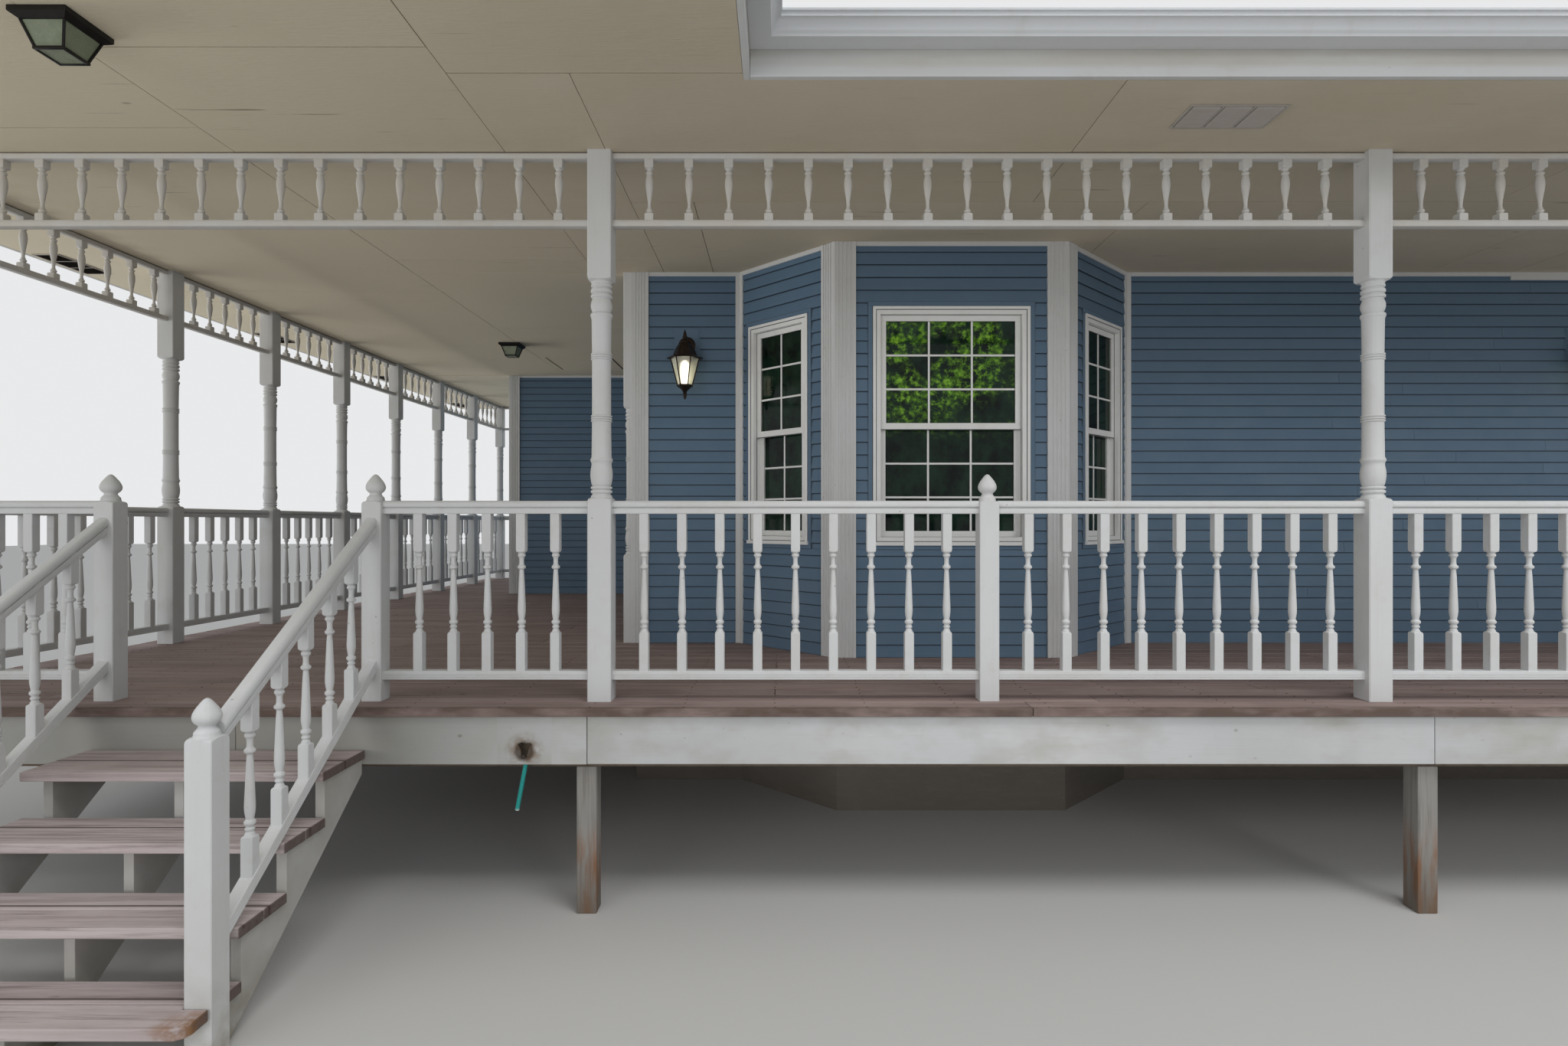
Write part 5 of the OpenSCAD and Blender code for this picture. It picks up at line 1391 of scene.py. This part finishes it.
lantern_boxes = solids("wall_lanterns")
lantern_x = sorted({round(float((low[0] + high[0])/2), 3) for low, high in lantern_boxes})
lantern_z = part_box("wall_lanterns")[0].z
lantern_out = 0.128
block_parts = []
for low, high in solids("lantern_blocks"):
    x0, x1, y0, y1 = low[0], high[0], low[1], high[1]
    block_parts.append(board((x0, y0 + 0.004, low[2]), (x1, y1, high[2]), 0.003))
    block_parts.append(board((x0 + 0.010, y0, low[2] + 0.010), (x1 - 0.010, y0 + 0.005, high[2] - 0.010),
                             0.003))
build("lantern_blocks", block_parts, flat_blue, "siding", "lantern_blocks")
block_t = wall_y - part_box("lantern_blocks")[0].y
cast_parts, pane_parts, lamp_parts = [], [], []
for x in lantern_x:
    y, z = wall_y - lantern_out, lantern_z
    hook = z + 0.383
    plate = lofted([(0.0, 0.057), (0.006, 0.057), (0.009, 0.053), (0.011, 0.046), (0.014, 0.038)], 28,
                   (0, 0, 0))
    cast_parts.append((plate[0][:, [0, 2, 1]]*np.array([1.0, -1.0, 1.0])
                       + np.array([x, wall_y - block_t, hook]), plate[1]))
    reach = [(x, wall_y - block_t - 0.010 - 0.094*k, hook + 0.006*math.sin(math.pi*k))
             for k in np.linspace(0, 1, 8)]
    cast_parts.append(tube(reach, [0.013, 0.0105, 0.009, 0.0085, 0.0085, 0.009, 0.010, 0.012]))
    drop = [(0.0, 0.002), (0.006, 0.006), (0.016, 0.0100), (0.028, 0.0125), (0.037, 0.0110), (0.041, 0.0140),
            (0.046, 0.0130), (0.049, 0.0115), (0.054, 0.0150), (0.062, 0.021), (0.070, 0.029),
            (0.078, 0.038), (0.083, 0.045)]
    cast_parts.append(lofted(drop, 18, (x, y, z)))
    cast_parts.append(lofted([(0.080, 0.044), (0.084, 0.050), (0.090, 0.0535), (0.097, 0.0530),
                              (0.098, 0.046)], 6, (x, y, z)))
    cage_low, cage_high = 0.096, 0.273
    r0, r1 = 0.0500, 0.0950
    for k in range(6):
        a = k*math.pi/3
        ends = [(x + r*math.cos(a), y + r*math.sin(a), z + h) for r, h in ((r0, cage_low), (r1, cage_high))]
        cast_parts.append(tube(ends, 0.0042, 6))
        b = a + math.pi/3
        corners = [(x + (r - 0.004)*math.cos(c), y + (r - 0.004)*math.sin(c), z + h)
                   for r, h, c in ((r0, cage_low, a), (r0, cage_low, b), (r1, cage_high, b),
                                   (r1, cage_high, a))]
        pane_parts.append(pane(corners, a + math.pi/6, 0.0025))
    roof = [(0.272, 0.084), (0.269, 0.116), (0.272, 0.1195), (0.277, 0.1180), (0.283, 0.104), (0.287, 0.090),
            (0.289, 0.0815), (0.297, 0.0790), (0.308, 0.0745), (0.325, 0.0680), (0.342, 0.0600),
            (0.356, 0.0520), (0.366, 0.0440), (0.373, 0.0380)]
    cast_parts.append(lofted(roof, 6, (x, y, z)))
    crown = [(0.370, 0.030), (0.374, 0.0375), (0.380, 0.0385), (0.385, 0.0360), (0.388, 0.0260),
             (0.394, 0.0200), (0.400, 0.0120), (0.404, 0.0115), (0.409, 0.0150), (0.416, 0.0165),
             (0.423, 0.0140), (0.427, 0.0095), (0.431, 0.0120), (0.438, 0.0110), (0.447, 0.0072),
             (0.458, 0.0040), (0.465, 0.0015)]
    cast_parts.append(lofted(crown, 16, (x, y, z)))
    lamp_parts.append(lofted([(0.100, 0.012), (0.106, 0.022), (0.140, 0.029), (0.200, 0.031), (0.240, 0.026),
                              (0.258, 0.012)], 20, (x, y, z)))
bronze = Finish("bronze_casting", (44, 36, 31), 0.42, 0.6)
bronze.clouds((82, 60, 46), 35, 0.45, 0.75, 0.55)
bronze.clouds((24, 21, 19), 140, 0.6, 0.8, 0.4)
bronze.grain(0.0004, 150)
bronze_finish = bronze.done()
build("wall_lanterns", cast_parts, bronze_finish, "lamp_metal", "wall_lanterns", crease=40)


# Ceiling lights.
# Square black lights screwed to the ceiling, with four seeded panes that taper down to a small square frame.
# Each corner has a slim bar, and a plain pane closes the bottom.
black = Finish("black_lamp_metal", (32, 30, 29), 0.4, 0.4)
black.clouds((54, 51, 48), 30, 0.5, 0.8, 0.5)
black.grain(0.0003, 120)
light_boxes = [b for b in solids("ceiling_lights") if b[1][0] - b[0][0] > 0.15]
light_parts, seeded_parts, bulb_parts = [], [], []
diagonal = math.sqrt(2)
for low, high in light_boxes:
    x, y, top = (low[0] + high[0])/2, (low[1] + high[1])/2, high[2]
    wide, foot = (high[0] - low[0])/2, 0.0530
    light_parts.append(lofted([(0.0, wide*diagonal), (-0.017, wide*diagonal),
                               (-0.020, (wide - 0.003)*diagonal), (-0.032, 0.0765*diagonal),
                               (-0.0325, 0.060*diagonal)], 4, (x, y, top), math.pi/4))
    top_half, low_half = 0.0735, foot - 0.0045
    depth0, depth1 = -0.032, -0.109
    for k in range(4):
        a = math.pi/4 + k*math.pi/2
        sx, sy = round(math.cos(a)*diagonal), round(math.sin(a)*diagonal)
        ends = [(x + sx*h, y + sy*h, top + d) for h, d in ((top_half, depth0), (low_half, depth1))]
        light_parts.append(tube(ends, 0.0045, 6))
        b = a + math.pi/2
        tx, ty = round(math.cos(b)*diagonal), round(math.sin(b)*diagonal)
        corners = [(x + cx*(half - 0.003), y + cy*(half - 0.003), top + depth)
                   for cx, cy, half, depth in ((sx, sy, top_half, depth0), (tx, ty, top_half, depth0),
                                               (tx, ty, low_half, depth1), (sx, sy, low_half, depth1))]
        seeded_parts.append(pane(corners, a + math.pi/4, 0.002))
    bottom = top + depth1
    for a0, a1, b0, b1 in ((-foot, foot, -foot, -foot + 0.010), (-foot, foot, foot - 0.010, foot),
                           (-foot, -foot + 0.010, -foot + 0.010, foot - 0.010),
                           (foot - 0.010, foot, -foot + 0.010, foot - 0.010)):
        light_parts.append(board((x + a0, y + b0, bottom - 0.009), (x + a1, y + b1, bottom + 0.001), 0.0015))
    seeded_parts.append(board((x - foot + 0.009, y - foot + 0.009, bottom - 0.006),
                              (x + foot - 0.009, y + foot - 0.009, bottom - 0.003), 0.0005))
    bulb_parts.append(lofted([(-0.033, 0.013), (-0.050, 0.013), (-0.058, 0.022), (-0.072, 0.027),
                              (-0.086, 0.022), (-0.095, 0.009)], 16, (x, y, top)))
build("ceiling_lights", light_parts, black.done(), "lamp_metal", "ceiling_lights", crease=30)
frosted = Finish("lantern_glass", (214, 214, 204), 0.35)
frosted.clouds((180, 184, 176), 60, 0.45, 0.7, 0.4)
frosted.shader.inputs["Transmission Weight"].default_value = 0.55
frosted.shader.inputs["IOR"].default_value = 1.3
frosted.grain(0.0006, 220)
build("lamp_panes", pane_parts, frosted.done(), "lamp_glass", "lamp_glass")
seeded = Finish("seeded_glass", (156, 166, 140), 0.4)
seeded.dots((196, 202, 184), 90, 0.25, 0.1, 0.5)
seeded.clouds((112, 126, 94), 25, 0.45, 0.7, 0.4)
seeded.shader.inputs["Transmission Weight"].default_value = 0.3
seeded.dent(seeded.cells(110), 0.0008)
build("ceiling_light_panes", seeded_parts, seeded.done(), "lamp_glass")
bulb = Finish("white_bulb", (214, 210, 198), 0.4)
bulb.clouds((196, 190, 176), 20, 0.4, 0.7, 0.3)
bulb.grain(0.0001, 60)
build("ceiling_light_bulbs", bulb_parts, bulb.done(), "lamp_glass", crease=40)
lamp = Finish("lamp_tube", (250, 246, 232), 0.5)
lamp.clouds((240, 236, 226), 20, 0.4, 0.7, 0.3)
lamp.shader.inputs["Emission Color"].default_value = shade(255, 246, 224)
lamp.shader.inputs["Emission Strength"].default_value = 9.0
build("lamps", lamp_parts, lamp.done(), "lamp_glass", crease=40)


# Fascia and rake boards.
# White painted 1x boards nailed to the rafter tails along the eaves and up the gable, butted at intervals.
fascia_low, fascia_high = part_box("fascia_boards")
fascia_t, rake_h = 0.025, 0.140
gable_front_y = fascia_low.y
gable_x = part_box("ceiling_gable")[1].x + fascia_t
eave_x, eave_y = fascia_low.x, ceil_low.y - fascia_t
roof_back_y = fascia_high.y
right_x = fascia_high.x
eave_top = fascia_high.z


def eave_board(x0, y0, x1, y1, top, joints=()):
    """A fascia board along x or y, butted at the joints."""
    low, high = [x0, y0, ceil_z], [x1, y1, top]
    long = 0 if x1 - x0 > y1 - y0 else 1
    marks = [low[long], *joints, high[long]]
    parts = []
    for a, b in zip(marks, marks[1:]):
        low[long], high[long] = a + 0.0006, b - 0.0006
        parts.append(board(low, high, 0.002))
    return parts


fascia_parts = eave_board(gable_x, eave_y, right_x, eave_y + fascia_t, eave_top, (gable_x + 3.66,))
fascia_parts += eave_board(gable_x - fascia_t, gable_front_y + fascia_t, gable_x, eave_y + fascia_t,
                           eave_top)
fascia_parts += eave_board(eave_x, gable_front_y + fascia_t, eave_x + fascia_t, roof_back_y - fascia_t,
                           eave_top, (-2.6, 1.1))
fascia_parts += eave_board(right_x - fascia_t, eave_y + fascia_t, right_x, wall_y, eave_top)
fascia_parts += eave_board(eave_x, gable_front_y, gable_x, gable_front_y + fascia_t, ceil_z + rake_h,
                           (eave_x + 2.4,))
fascia_parts += eave_board(eave_x, roof_back_y - fascia_t, rear_x, roof_back_y, ceil_z + rake_h)
fascia_white = white_paint("fascia_paint", (0.1, 0.1, 1), 0.9)
upper_edge = fascia_white.level(fascia_white.axis("Z"), ceil_z + 0.030, ceil_z + 0.050)
fascia_white.broken((186, 180, 166), upper_edge, 5, 0.2, 0.6, 0.75, (0.2, 0.2, 1))
fascia_paint = fascia_white.done()
build("fascia_boards", fascia_parts, fascia_paint, "trim_paint", "fascia_boards")
coat(fascia_paint, "rake_boards")


# Gutters.
# White roll-formed gutters with an ogee front, hung under the roof edge, with a box mitre in the corner.
gutter_h, metal_t = 0.083, 0.0016
gutter_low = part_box("gutter_front")[0].z
ogee = [(0.0, gutter_h), (0.0, 0.002), (0.002, 0.0), (0.083, 0.0), (0.0848, 0.002)]
ogee += [(0.085 + 0.010*math.sin(t)**2, 0.003 + 0.020*t/(math.pi/2)) for t in np.linspace(0.1, math.pi/2, 6)]
ogee += [(0.095 + 0.024*(1 - math.cos(t)), 0.025 + 0.030*math.sin(t))
         for t in np.linspace(0.15, math.pi/2, 8)]
ogee += [(0.1165, 0.058), (0.1165, 0.0705), (0.1180, 0.0725), (0.1225, 0.0725), (0.124, 0.074),
         (0.124, 0.0815), (0.1225, gutter_h)]
ogee += [(0.1185, gutter_h), (0.1170, 0.0815), (0.1170 - metal_t, 0.079)]
inner = [(a - metal_t, b + (metal_t if b < 0.03 else 0.0)) for a, b in reversed(ogee[4:-9])]
ogee_closed = ogee + [(0.1165 - metal_t, 0.0705),
                      (0.1165 - metal_t, 0.059)] + inner + [(0.083 - metal_t, metal_t), (metal_t, metal_t),
                                                            (metal_t, gutter_h)]


def gutter(start, end, mitre_start=0.0, mitre_end=0.0, outline=ogee_closed):
    """A gutter along an eave, from left to right seen from outside. A mitre moves the front of its end."""
    length, way, out = ways(start, end)
    rings = []
    for u, lean in ((0.0, mitre_start), (length, mitre_end)):
        rings.append(at_wall(start, way, out, [(u + lean*a, a, gutter_low + b) for a, b in outline]))
    return ringed(rings)


solid_line = ogee[:-2]


def grown(line, by):
    """An outline a little outside another, for a sleeve over it."""
    return [(a + (by if a > 0.01 else 0.0), b + (by if b > 0.065 else -by if b < 0.01 else 0.0)) for a,
            b in line]


def gutter_cap(at, way):
    """A flat end cap, folded to the gutter's outline."""
    out = (way[1], -way[0])
    rings = [at_wall(at, way, out, [(u, a, gutter_low + b) for a, b in solid_line]) for u in (0.0, 0.002)]
    return ringed(rings)


front_gutter = [gutter((gable_x, eave_y), (right_x, eave_y), mitre_start=1.0, mitre_end=1.0)]
front_gutter += [gutter((gable_x + 0.14, eave_y), (gable_x + 0.1425, eave_y),
                        outline=grown(ogee_closed, 0.0006))]
front_gutter += [gutter((gable_x + 3.2, eave_y), (gable_x + 3.26, eave_y),
                        outline=grown(ogee_closed, 0.0008))]
gable_gutter = [gutter((gable_x, gable_front_y), (gable_x, eave_y), mitre_end=-1.0)]
gable_gutter += [gutter_cap((gable_x, gable_front_y), (0, 1))]
gable_gutter += [gutter((gable_x, eave_y - 0.2675), (gable_x, eave_y - 0.265),
                        outline=grown(ogee_closed, 0.0006))]
left_gutter = [gutter((eave_x, roof_back_y), (eave_x, gable_front_y))]
left_gutter += [gutter_cap((eave_x, roof_back_y), (0, -1)),
                gutter_cap((eave_x, gable_front_y + 0.002), (0, -1))]
left_gutter += [gutter((eave_x, 0.9), (eave_x, 0.84), outline=grown(ogee_closed, 0.0008))]
end_gutter = [gutter((right_x, eave_y), (right_x, wall_y), mitre_start=-1.0)]
end_gutter += [gutter_cap((right_x, wall_y - 0.002), (0, 1))]


def hangers(start, end):
    """Thin straps across the gutter's mouth that hold its front lip."""
    length, way, out = ways(start, end)
    line = [(0.001, 0.077), (0.001, 0.079), (0.121, 0.0825), (0.121, 0.0805)]
    parts = []
    for u in np.arange(0.35, length - 0.2, 0.6):
        parts.append(ringed([at_wall(start, way, out, [(s, a, gutter_low + b) for a, b in line])
                             for s in (u, u + 0.024)]))
    return parts


front_gutter += hangers((gable_x, eave_y), (right_x, eave_y))
gable_gutter += hangers((gable_x, gable_front_y), (gable_x, eave_y - 0.2))
left_gutter += hangers((eave_x, roof_back_y), (eave_x, gable_front_y))
end_gutter += hangers((right_x, eave_y), (right_x, wall_y))
gutter_metal = Finish("gutter_metal", (208, 210, 212), 0.32)
gutter_metal.clouds((190, 191, 190), 2.4, 0.5, 0.8, 0.3)
gutter_metal.broken((140, 132, 118), gutter_metal.level(gutter_metal.cells(9), 0.06, 0.02), 3, 0.5, 0.56,
                    0.5)
gutter_metal.clouds((188, 184, 174), 18, 0.58, 0.8, 0.25, (1, 1, 0.2))
gutter_metal.grain(0.0006, 5)
gutter_finish = gutter_metal.done()
for name, parts in (("gutter_front", front_gutter), ("gutter_gable", gable_gutter),
                    ("gutter_left", left_gutter), ("gutter_end", end_gutter)):
    build(name, parts, gutter_finish, "gutter_metal", name, crease=28)


# Roof.
# Boards covered with charcoal asphalt shingles: staggered tabs in 5 inch courses over each slope.
# The valley is closed by the courses of both slopes.
rise = 0.33
roof_t = 0.050
roof_edge_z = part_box("roof_front")[0].z + roof_t*math.sqrt(1 + rise*rise)
tab_w, exposure, tab_t = 0.305, 0.135, 0.006
slot = 0.005


def clip(points, keep):
    """The part of a plan outline that lies where each keep (a, b, c) gives a*x + b*y >= c."""
    for a, b, c in keep:
        kept = []
        for i in range(len(points)):
            p, q = points[i - 1], points[i]
            dp, dq = a*p[0] + b*p[1] - c, a*q[0] + b*q[1] - c
            if (dp >= 0) != (dq >= 0):
                t = dp/(dp - dq)
                kept.append((p[0] + t*(q[0] - p[0]), p[1] + t*(q[1] - p[1])))
            if dq >= 0:
                kept.append(q)
        points = kept
        if len(points) < 3:
            return []
    return points


def shingles(eave_point, up, length, depth, areas):
    """Tabs on one slope. up is the plan direction uphill, and areas are the convex plan regions covered."""
    run = (up[1], -up[0])
    parts = []
    courses = math.ceil(depth*math.sqrt(1 + rise*rise)/exposure)
    plan_step = exposure/math.sqrt(1 + rise*rise)
    for k in range(courses):
        offset = (k % 2)*tab_w/2 + chance.uniform(-0.01, 0.01)
        count = int(length/tab_w) + 3
        for i in range(-1, count):
            u0, u1 = i*tab_w + offset + slot/2, (i + 1)*tab_w + offset - slot/2
            v0, v1 = k*plan_step - (0.012 if k == 0 else 0.0), (k + 1)*plan_step + 0.010
            corners = [(eave_point[0] + run[0]*u + up[0]*v, eave_point[1] + run[1]*u + up[1]*v)
                       for u, v in ((u0, v0), (u1, v0), (u1, v1), (u0, v1))]
            for area in areas:
                cut = clip(corners, area)
                if len(cut) < 3:
                    continue
                lift = chance.uniform(0, 0.0015)
                under, over = [], []
                for x, y in cut:
                    v = (x - eave_point[0])*up[0] + (y - eave_point[1])*up[1]
                    slope_z = roof_edge_z + v*rise
                    under.append((x, y, slope_z - 0.001))
                    over.append((x, y, slope_z + 0.002 + (tab_t + lift)*(1 - (v - v0)/(v1 - v0))))
                parts.append(ringed([np.array(under), np.array(over)]))
    return parts


ridge_x = (eave_x + gable_x)/2
wall_turn = wall_y - eave_y
row_low, row_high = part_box("front_posts")
origin_x = row_low.x + 0.054
origin_y = (row_low.y + row_high.y)/2
valley = (ridge_x, origin_y + (ridge_x - origin_x))
inner_y = origin_y + (side_x - origin_x)
left_areas = [
    [(1, 0, eave_x - 0.015), (-1, 0, -ridge_x), (0, 1, gable_front_y + 0.001), (0, -1, -valley[1])],
    [(1, 0, eave_x - 0.015), (0, 1, valley[1]), (0, -1, -inner_y), (-1, 1, valley[1] - valley[0])],
    [(1, 0, eave_x - 0.015), (0, 1, inner_y), (0, -1, -return_y), (-1, 0, -side_x)],
    [(1, 0, eave_x - 0.015), (0, 1, return_y), (0, -1, -roof_back_y), (-1, 0, -rear_x)]]
front_areas = [
    [(0, 1, eave_y - 0.015), (-1, -1, -(right_x + eave_y)), (0, -1, -wall_y), (1, 0, gable_x)],
    [(0, -1, -wall_y), (1, 1, gable_x + eave_y), (-1, 0, -gable_x), (1, 0, side_x)],
    [(1, -1, valley[0] - valley[1]), (-1, 0, -side_x), (1, 1, gable_x + eave_y)]]
gable_areas = [[(-1, 0, -(gable_x + 0.015)), (1, 0, ridge_x), (0, 1, gable_front_y + 0.001),
                (-1, -1, -(gable_x + eave_y))]]
end_areas = [[(-1, 0, -(right_x + 0.015)), (0, -1, -wall_y), (1, 1, right_x + eave_y)]]
shingle = Finish("charcoal_shingles", (84, 82, 80), 0.95)
shingle.vary((58, 57, 58), 0.6)
shingle.clouds((104, 100, 94), 3, 0.45, 0.8, 0.35)
shingle.clouds((128, 124, 118), 420, 0.5, 0.7, 0.55, detail=2)
shingle.grain(0.0012, 600, detail=2)
shingle_finish = shingle.done()
left_run, gable_run = roof_back_y - gable_front_y, valley[1] - gable_front_y
for name, *slope in (("shingles_left", (eave_x, roof_back_y), (1, 0), left_run, side_x - eave_x, left_areas),
                     ("shingles_front", (ridge_x, eave_y), (0, 1), right_x - ridge_x, inner_y - eave_y,
                      front_areas),
                     ("shingles_gable", (gable_x, gable_front_y), (-1, 0), gable_run, gable_x - ridge_x,
                      gable_areas),
                     ("shingles_end", (right_x, eave_y), (-1, 0), wall_turn, wall_turn, end_areas)):
    build(name, shingles(*slope), shingle_finish, "shingles")
roof_boards = Finish("roof_sheathing", (150, 132, 104), 0.85)
roof_boards.clouds((120, 102, 76), 20, 0.4, 0.7, 0.5, (0.1, 0.1, 1))
roof_boards.grain(0.0008, 60)
coat(roof_boards.done(), "roof_left", "roof_front", "roof_gable", "roof_end")


# Drain tube.
# A short stiff teal plastic tube that hangs out under the rim board, cut square and scuffed pale at its end.
tube_r, tube_wall = 0.0095, 0.0018
tube_top = np.array([tube_high.x - tube_r, (tube_low.y + tube_high.y)/2, tube_high.z])
tube_end = np.array([tube_low.x + tube_r, (tube_low.y + tube_high.y)/2, tube_low.z + 0.002])


def pipe(start, end, radius, wall, sides=20):
    """An open pipe between two points."""
    way = (end - start)/np.linalg.norm(end - start)
    one = np.cross(way, (0, 1, 0))
    one /= np.linalg.norm(one)
    two = np.cross(way, one)
    marks = np.arange(sides)*2*math.pi/sides
    circle = np.outer(np.cos(marks), one) + np.outer(np.sin(marks), two)
    rings = [start + radius*circle, end - way*0.001 + radius*circle, end + (radius - 0.0008)*circle,
             end + (radius - wall)*circle, start + (radius - wall)*circle]
    points = np.concatenate(rings)
    faces = []
    for r in range(5):
        for i in range(sides):
            j = (i + 1) % sides
            faces.append((r*sides + i, r*sides + j, (r + 1) % 5*sides + j, (r + 1) % 5*sides + i))
    return points, faces


teal = Finish("teal_plastic", (34, 148, 142), 0.35)
teal.clouds((24, 112, 110), 60, 0.5, 0.75, 0.45, (1, 1, 0.2))
teal.band((200, 206, 198), "Z", tube_low.z + 0.012, tube_low.z + 0.003, 0.85)
teal.grain(0.0002, 150)
build("drain_tube", [pipe(tube_top, tube_end, tube_r, tube_wall)], teal.done(), "tube_plastic", "drain_tube",
      crease=30)


# Gable ends.
# The upright triangle over the stairs is clad like the house walls, and the end of the left wing is the same
# blue without laps.
def gable_cladding(y, out_y, under_line):
    """Lap courses on an upright end, cut to the slope of the roof by a line of plan x and height."""
    parts = []
    z = deck_top + math.ceil((ceil_z - deck_top)/course)*course
    while z < max(h for _, h in under_line):
        low, high = z, z + course
        left = right = None
        for (xa, za), (xb, zb) in zip(under_line, under_line[1:]):
            for x in np.linspace(xa, xb, 60):
                h = za + (zb - za)*(x - xa)/(xb - xa) if xb > xa else min(za, zb)
                if h > low + 0.012:
                    left = x if left is None else left
                    right = x
        if left is not None and right - left > 0.03:
            line = [(0.0, low), (lap_t - 0.0012, low), (lap_t, low + 0.0015), (0.0008, high), (0.0, high)]
            rings = []
            for x in (left, right):
                roof_here = np.interp(x, [p[0] for p in under_line], [p[1] for p in under_line])
                squeeze = min(1.0, (roof_here - low)/(high - low))
                rings.append(np.array([(x, y + out_y*o, low + (v - low)*squeeze) for o, v in line]))
            parts.append(ringed(rings))
        z += course
    return parts


front_gable = solids("gable_ends")[0]
ridge_under = front_gable[1][2]
eave_under = eave_top + 0.025*rise
under_roof = [(eave_x + fascia_t, eave_under), (ridge_x, ridge_under), (gable_x - fascia_t, eave_under)]
gable_parts = gable_cladding(front_gable[0][1], -1, under_roof)
build("gable_siding", gable_parts, siding_finish, "siding")
coat(flat_blue, "gable_ends")


# Studio.
# A plain pale floor and backdrop with four soft lamps: one high, two in front and one low on the left.
# The camera stands where the photograph was taken, level and straight on to the steps.
def lamp_panel(name, place, aim, size, power, spread=180):
    """A soft area light that the camera doesn't see."""
    light = bpy.data.lights.new(name, "AREA")
    light.shape = "RECTANGLE"
    light.spread = math.radians(spread)
    light.size, light.size_y = size
    light.energy = power
    panel = bpy.data.objects.new(name, light)
    bpy.context.scene.collection.objects.link(panel)
    panel.visible_camera = False
    panel.visible_glossy = False
    panel.location = place
    way = np.array(aim, float) - np.array(place, float)
    panel.rotation_euler = (math.acos(-way[2]/np.linalg.norm(way)), 0, math.atan2(way[0], -way[1]) + math.pi)
    return panel


floor_mesh = bpy.data.meshes.new("studio_floor")
floor_half = 60.0
floor_mesh.from_pydata([(-floor_half, -floor_half, 0), (floor_half, -floor_half, 0),
                        (floor_half, floor_half, 0), (-floor_half, floor_half, 0)],
                       [], [(0, 1, 2, 3)])
floor_finish = Finish("studio_floor", (200, 199, 196), 0.9)
floor_mesh.materials.append(floor_finish.done())
floor = bpy.data.objects.new("studio_floor", floor_mesh)
bpy.context.scene.collection.objects.link(floor)

world = bpy.data.worlds.new("studio")
bpy.context.scene.world = world
world.use_nodes = True
tree = world.node_tree
ground = tree.nodes["Background"]
ground.inputs["Color"].default_value = (0.93, 0.96, 1.0, 1.0)
ground.inputs["Strength"].default_value = 0.62
seen = tree.nodes.new("ShaderNodeBackground")
seen.inputs["Color"].default_value = (0.90, 0.91, 0.92, 1.0)
seen.inputs["Strength"].default_value = 0.9
path = tree.nodes.new("ShaderNodeLightPath")
blend = tree.nodes.new("ShaderNodeMixShader")
rays = path.outputs["Is Camera Ray"]
for kind in ("Is Transmission Ray", "Is Glossy Ray"):
    either = tree.nodes.new("ShaderNodeMath")
    either.operation = "MAXIMUM"
    tree.links.new(rays, either.inputs[0])
    tree.links.new(path.outputs[kind], either.inputs[1])
    rays = either.outputs[0]
tree.links.new(rays, blend.inputs[0])
tree.links.new(ground.outputs[0], blend.inputs[1])
tree.links.new(seen.outputs[0], blend.inputs[2])
tree.links.new(blend.outputs[0], tree.nodes["World Output"].inputs["Surface"])
lamp_panel("high_light", (3.0, -9.9, 13.8), (2.0, -3.3, 1.5), (10.0, 4.5), 800)
lamp_panel("front_light", (-8.0, -14.0, 2.2), (-3.4, -1.5, 1.9), (8.0, 2.8), 48, 70)
lamp_panel("right_light", (8.0, -15.0, 6.5), (3.6, -2.5, 1.2), (6.0, 3.0), 42, 60)
lamp_panel("low_fill", (-13.5, 1.0, 1.3), (-5.5, 1.0, 7.2), (12.0, 2.2), 400, 80)

camera_data = bpy.data.cameras.new("camera")
camera_data.lens = 18.5
camera_data.sensor_width = 36.0
camera_data.clip_end = 200.0
camera = bpy.data.objects.new("camera", camera_data)
camera.location = (-1.052, -6.9865, 1.742)
camera.rotation_euler = (math.pi/2, 0, 0)
bpy.context.scene.collection.objects.link(camera)
bpy.context.scene.camera = camera
bpy.context.scene.view_settings.view_transform = "Standard"
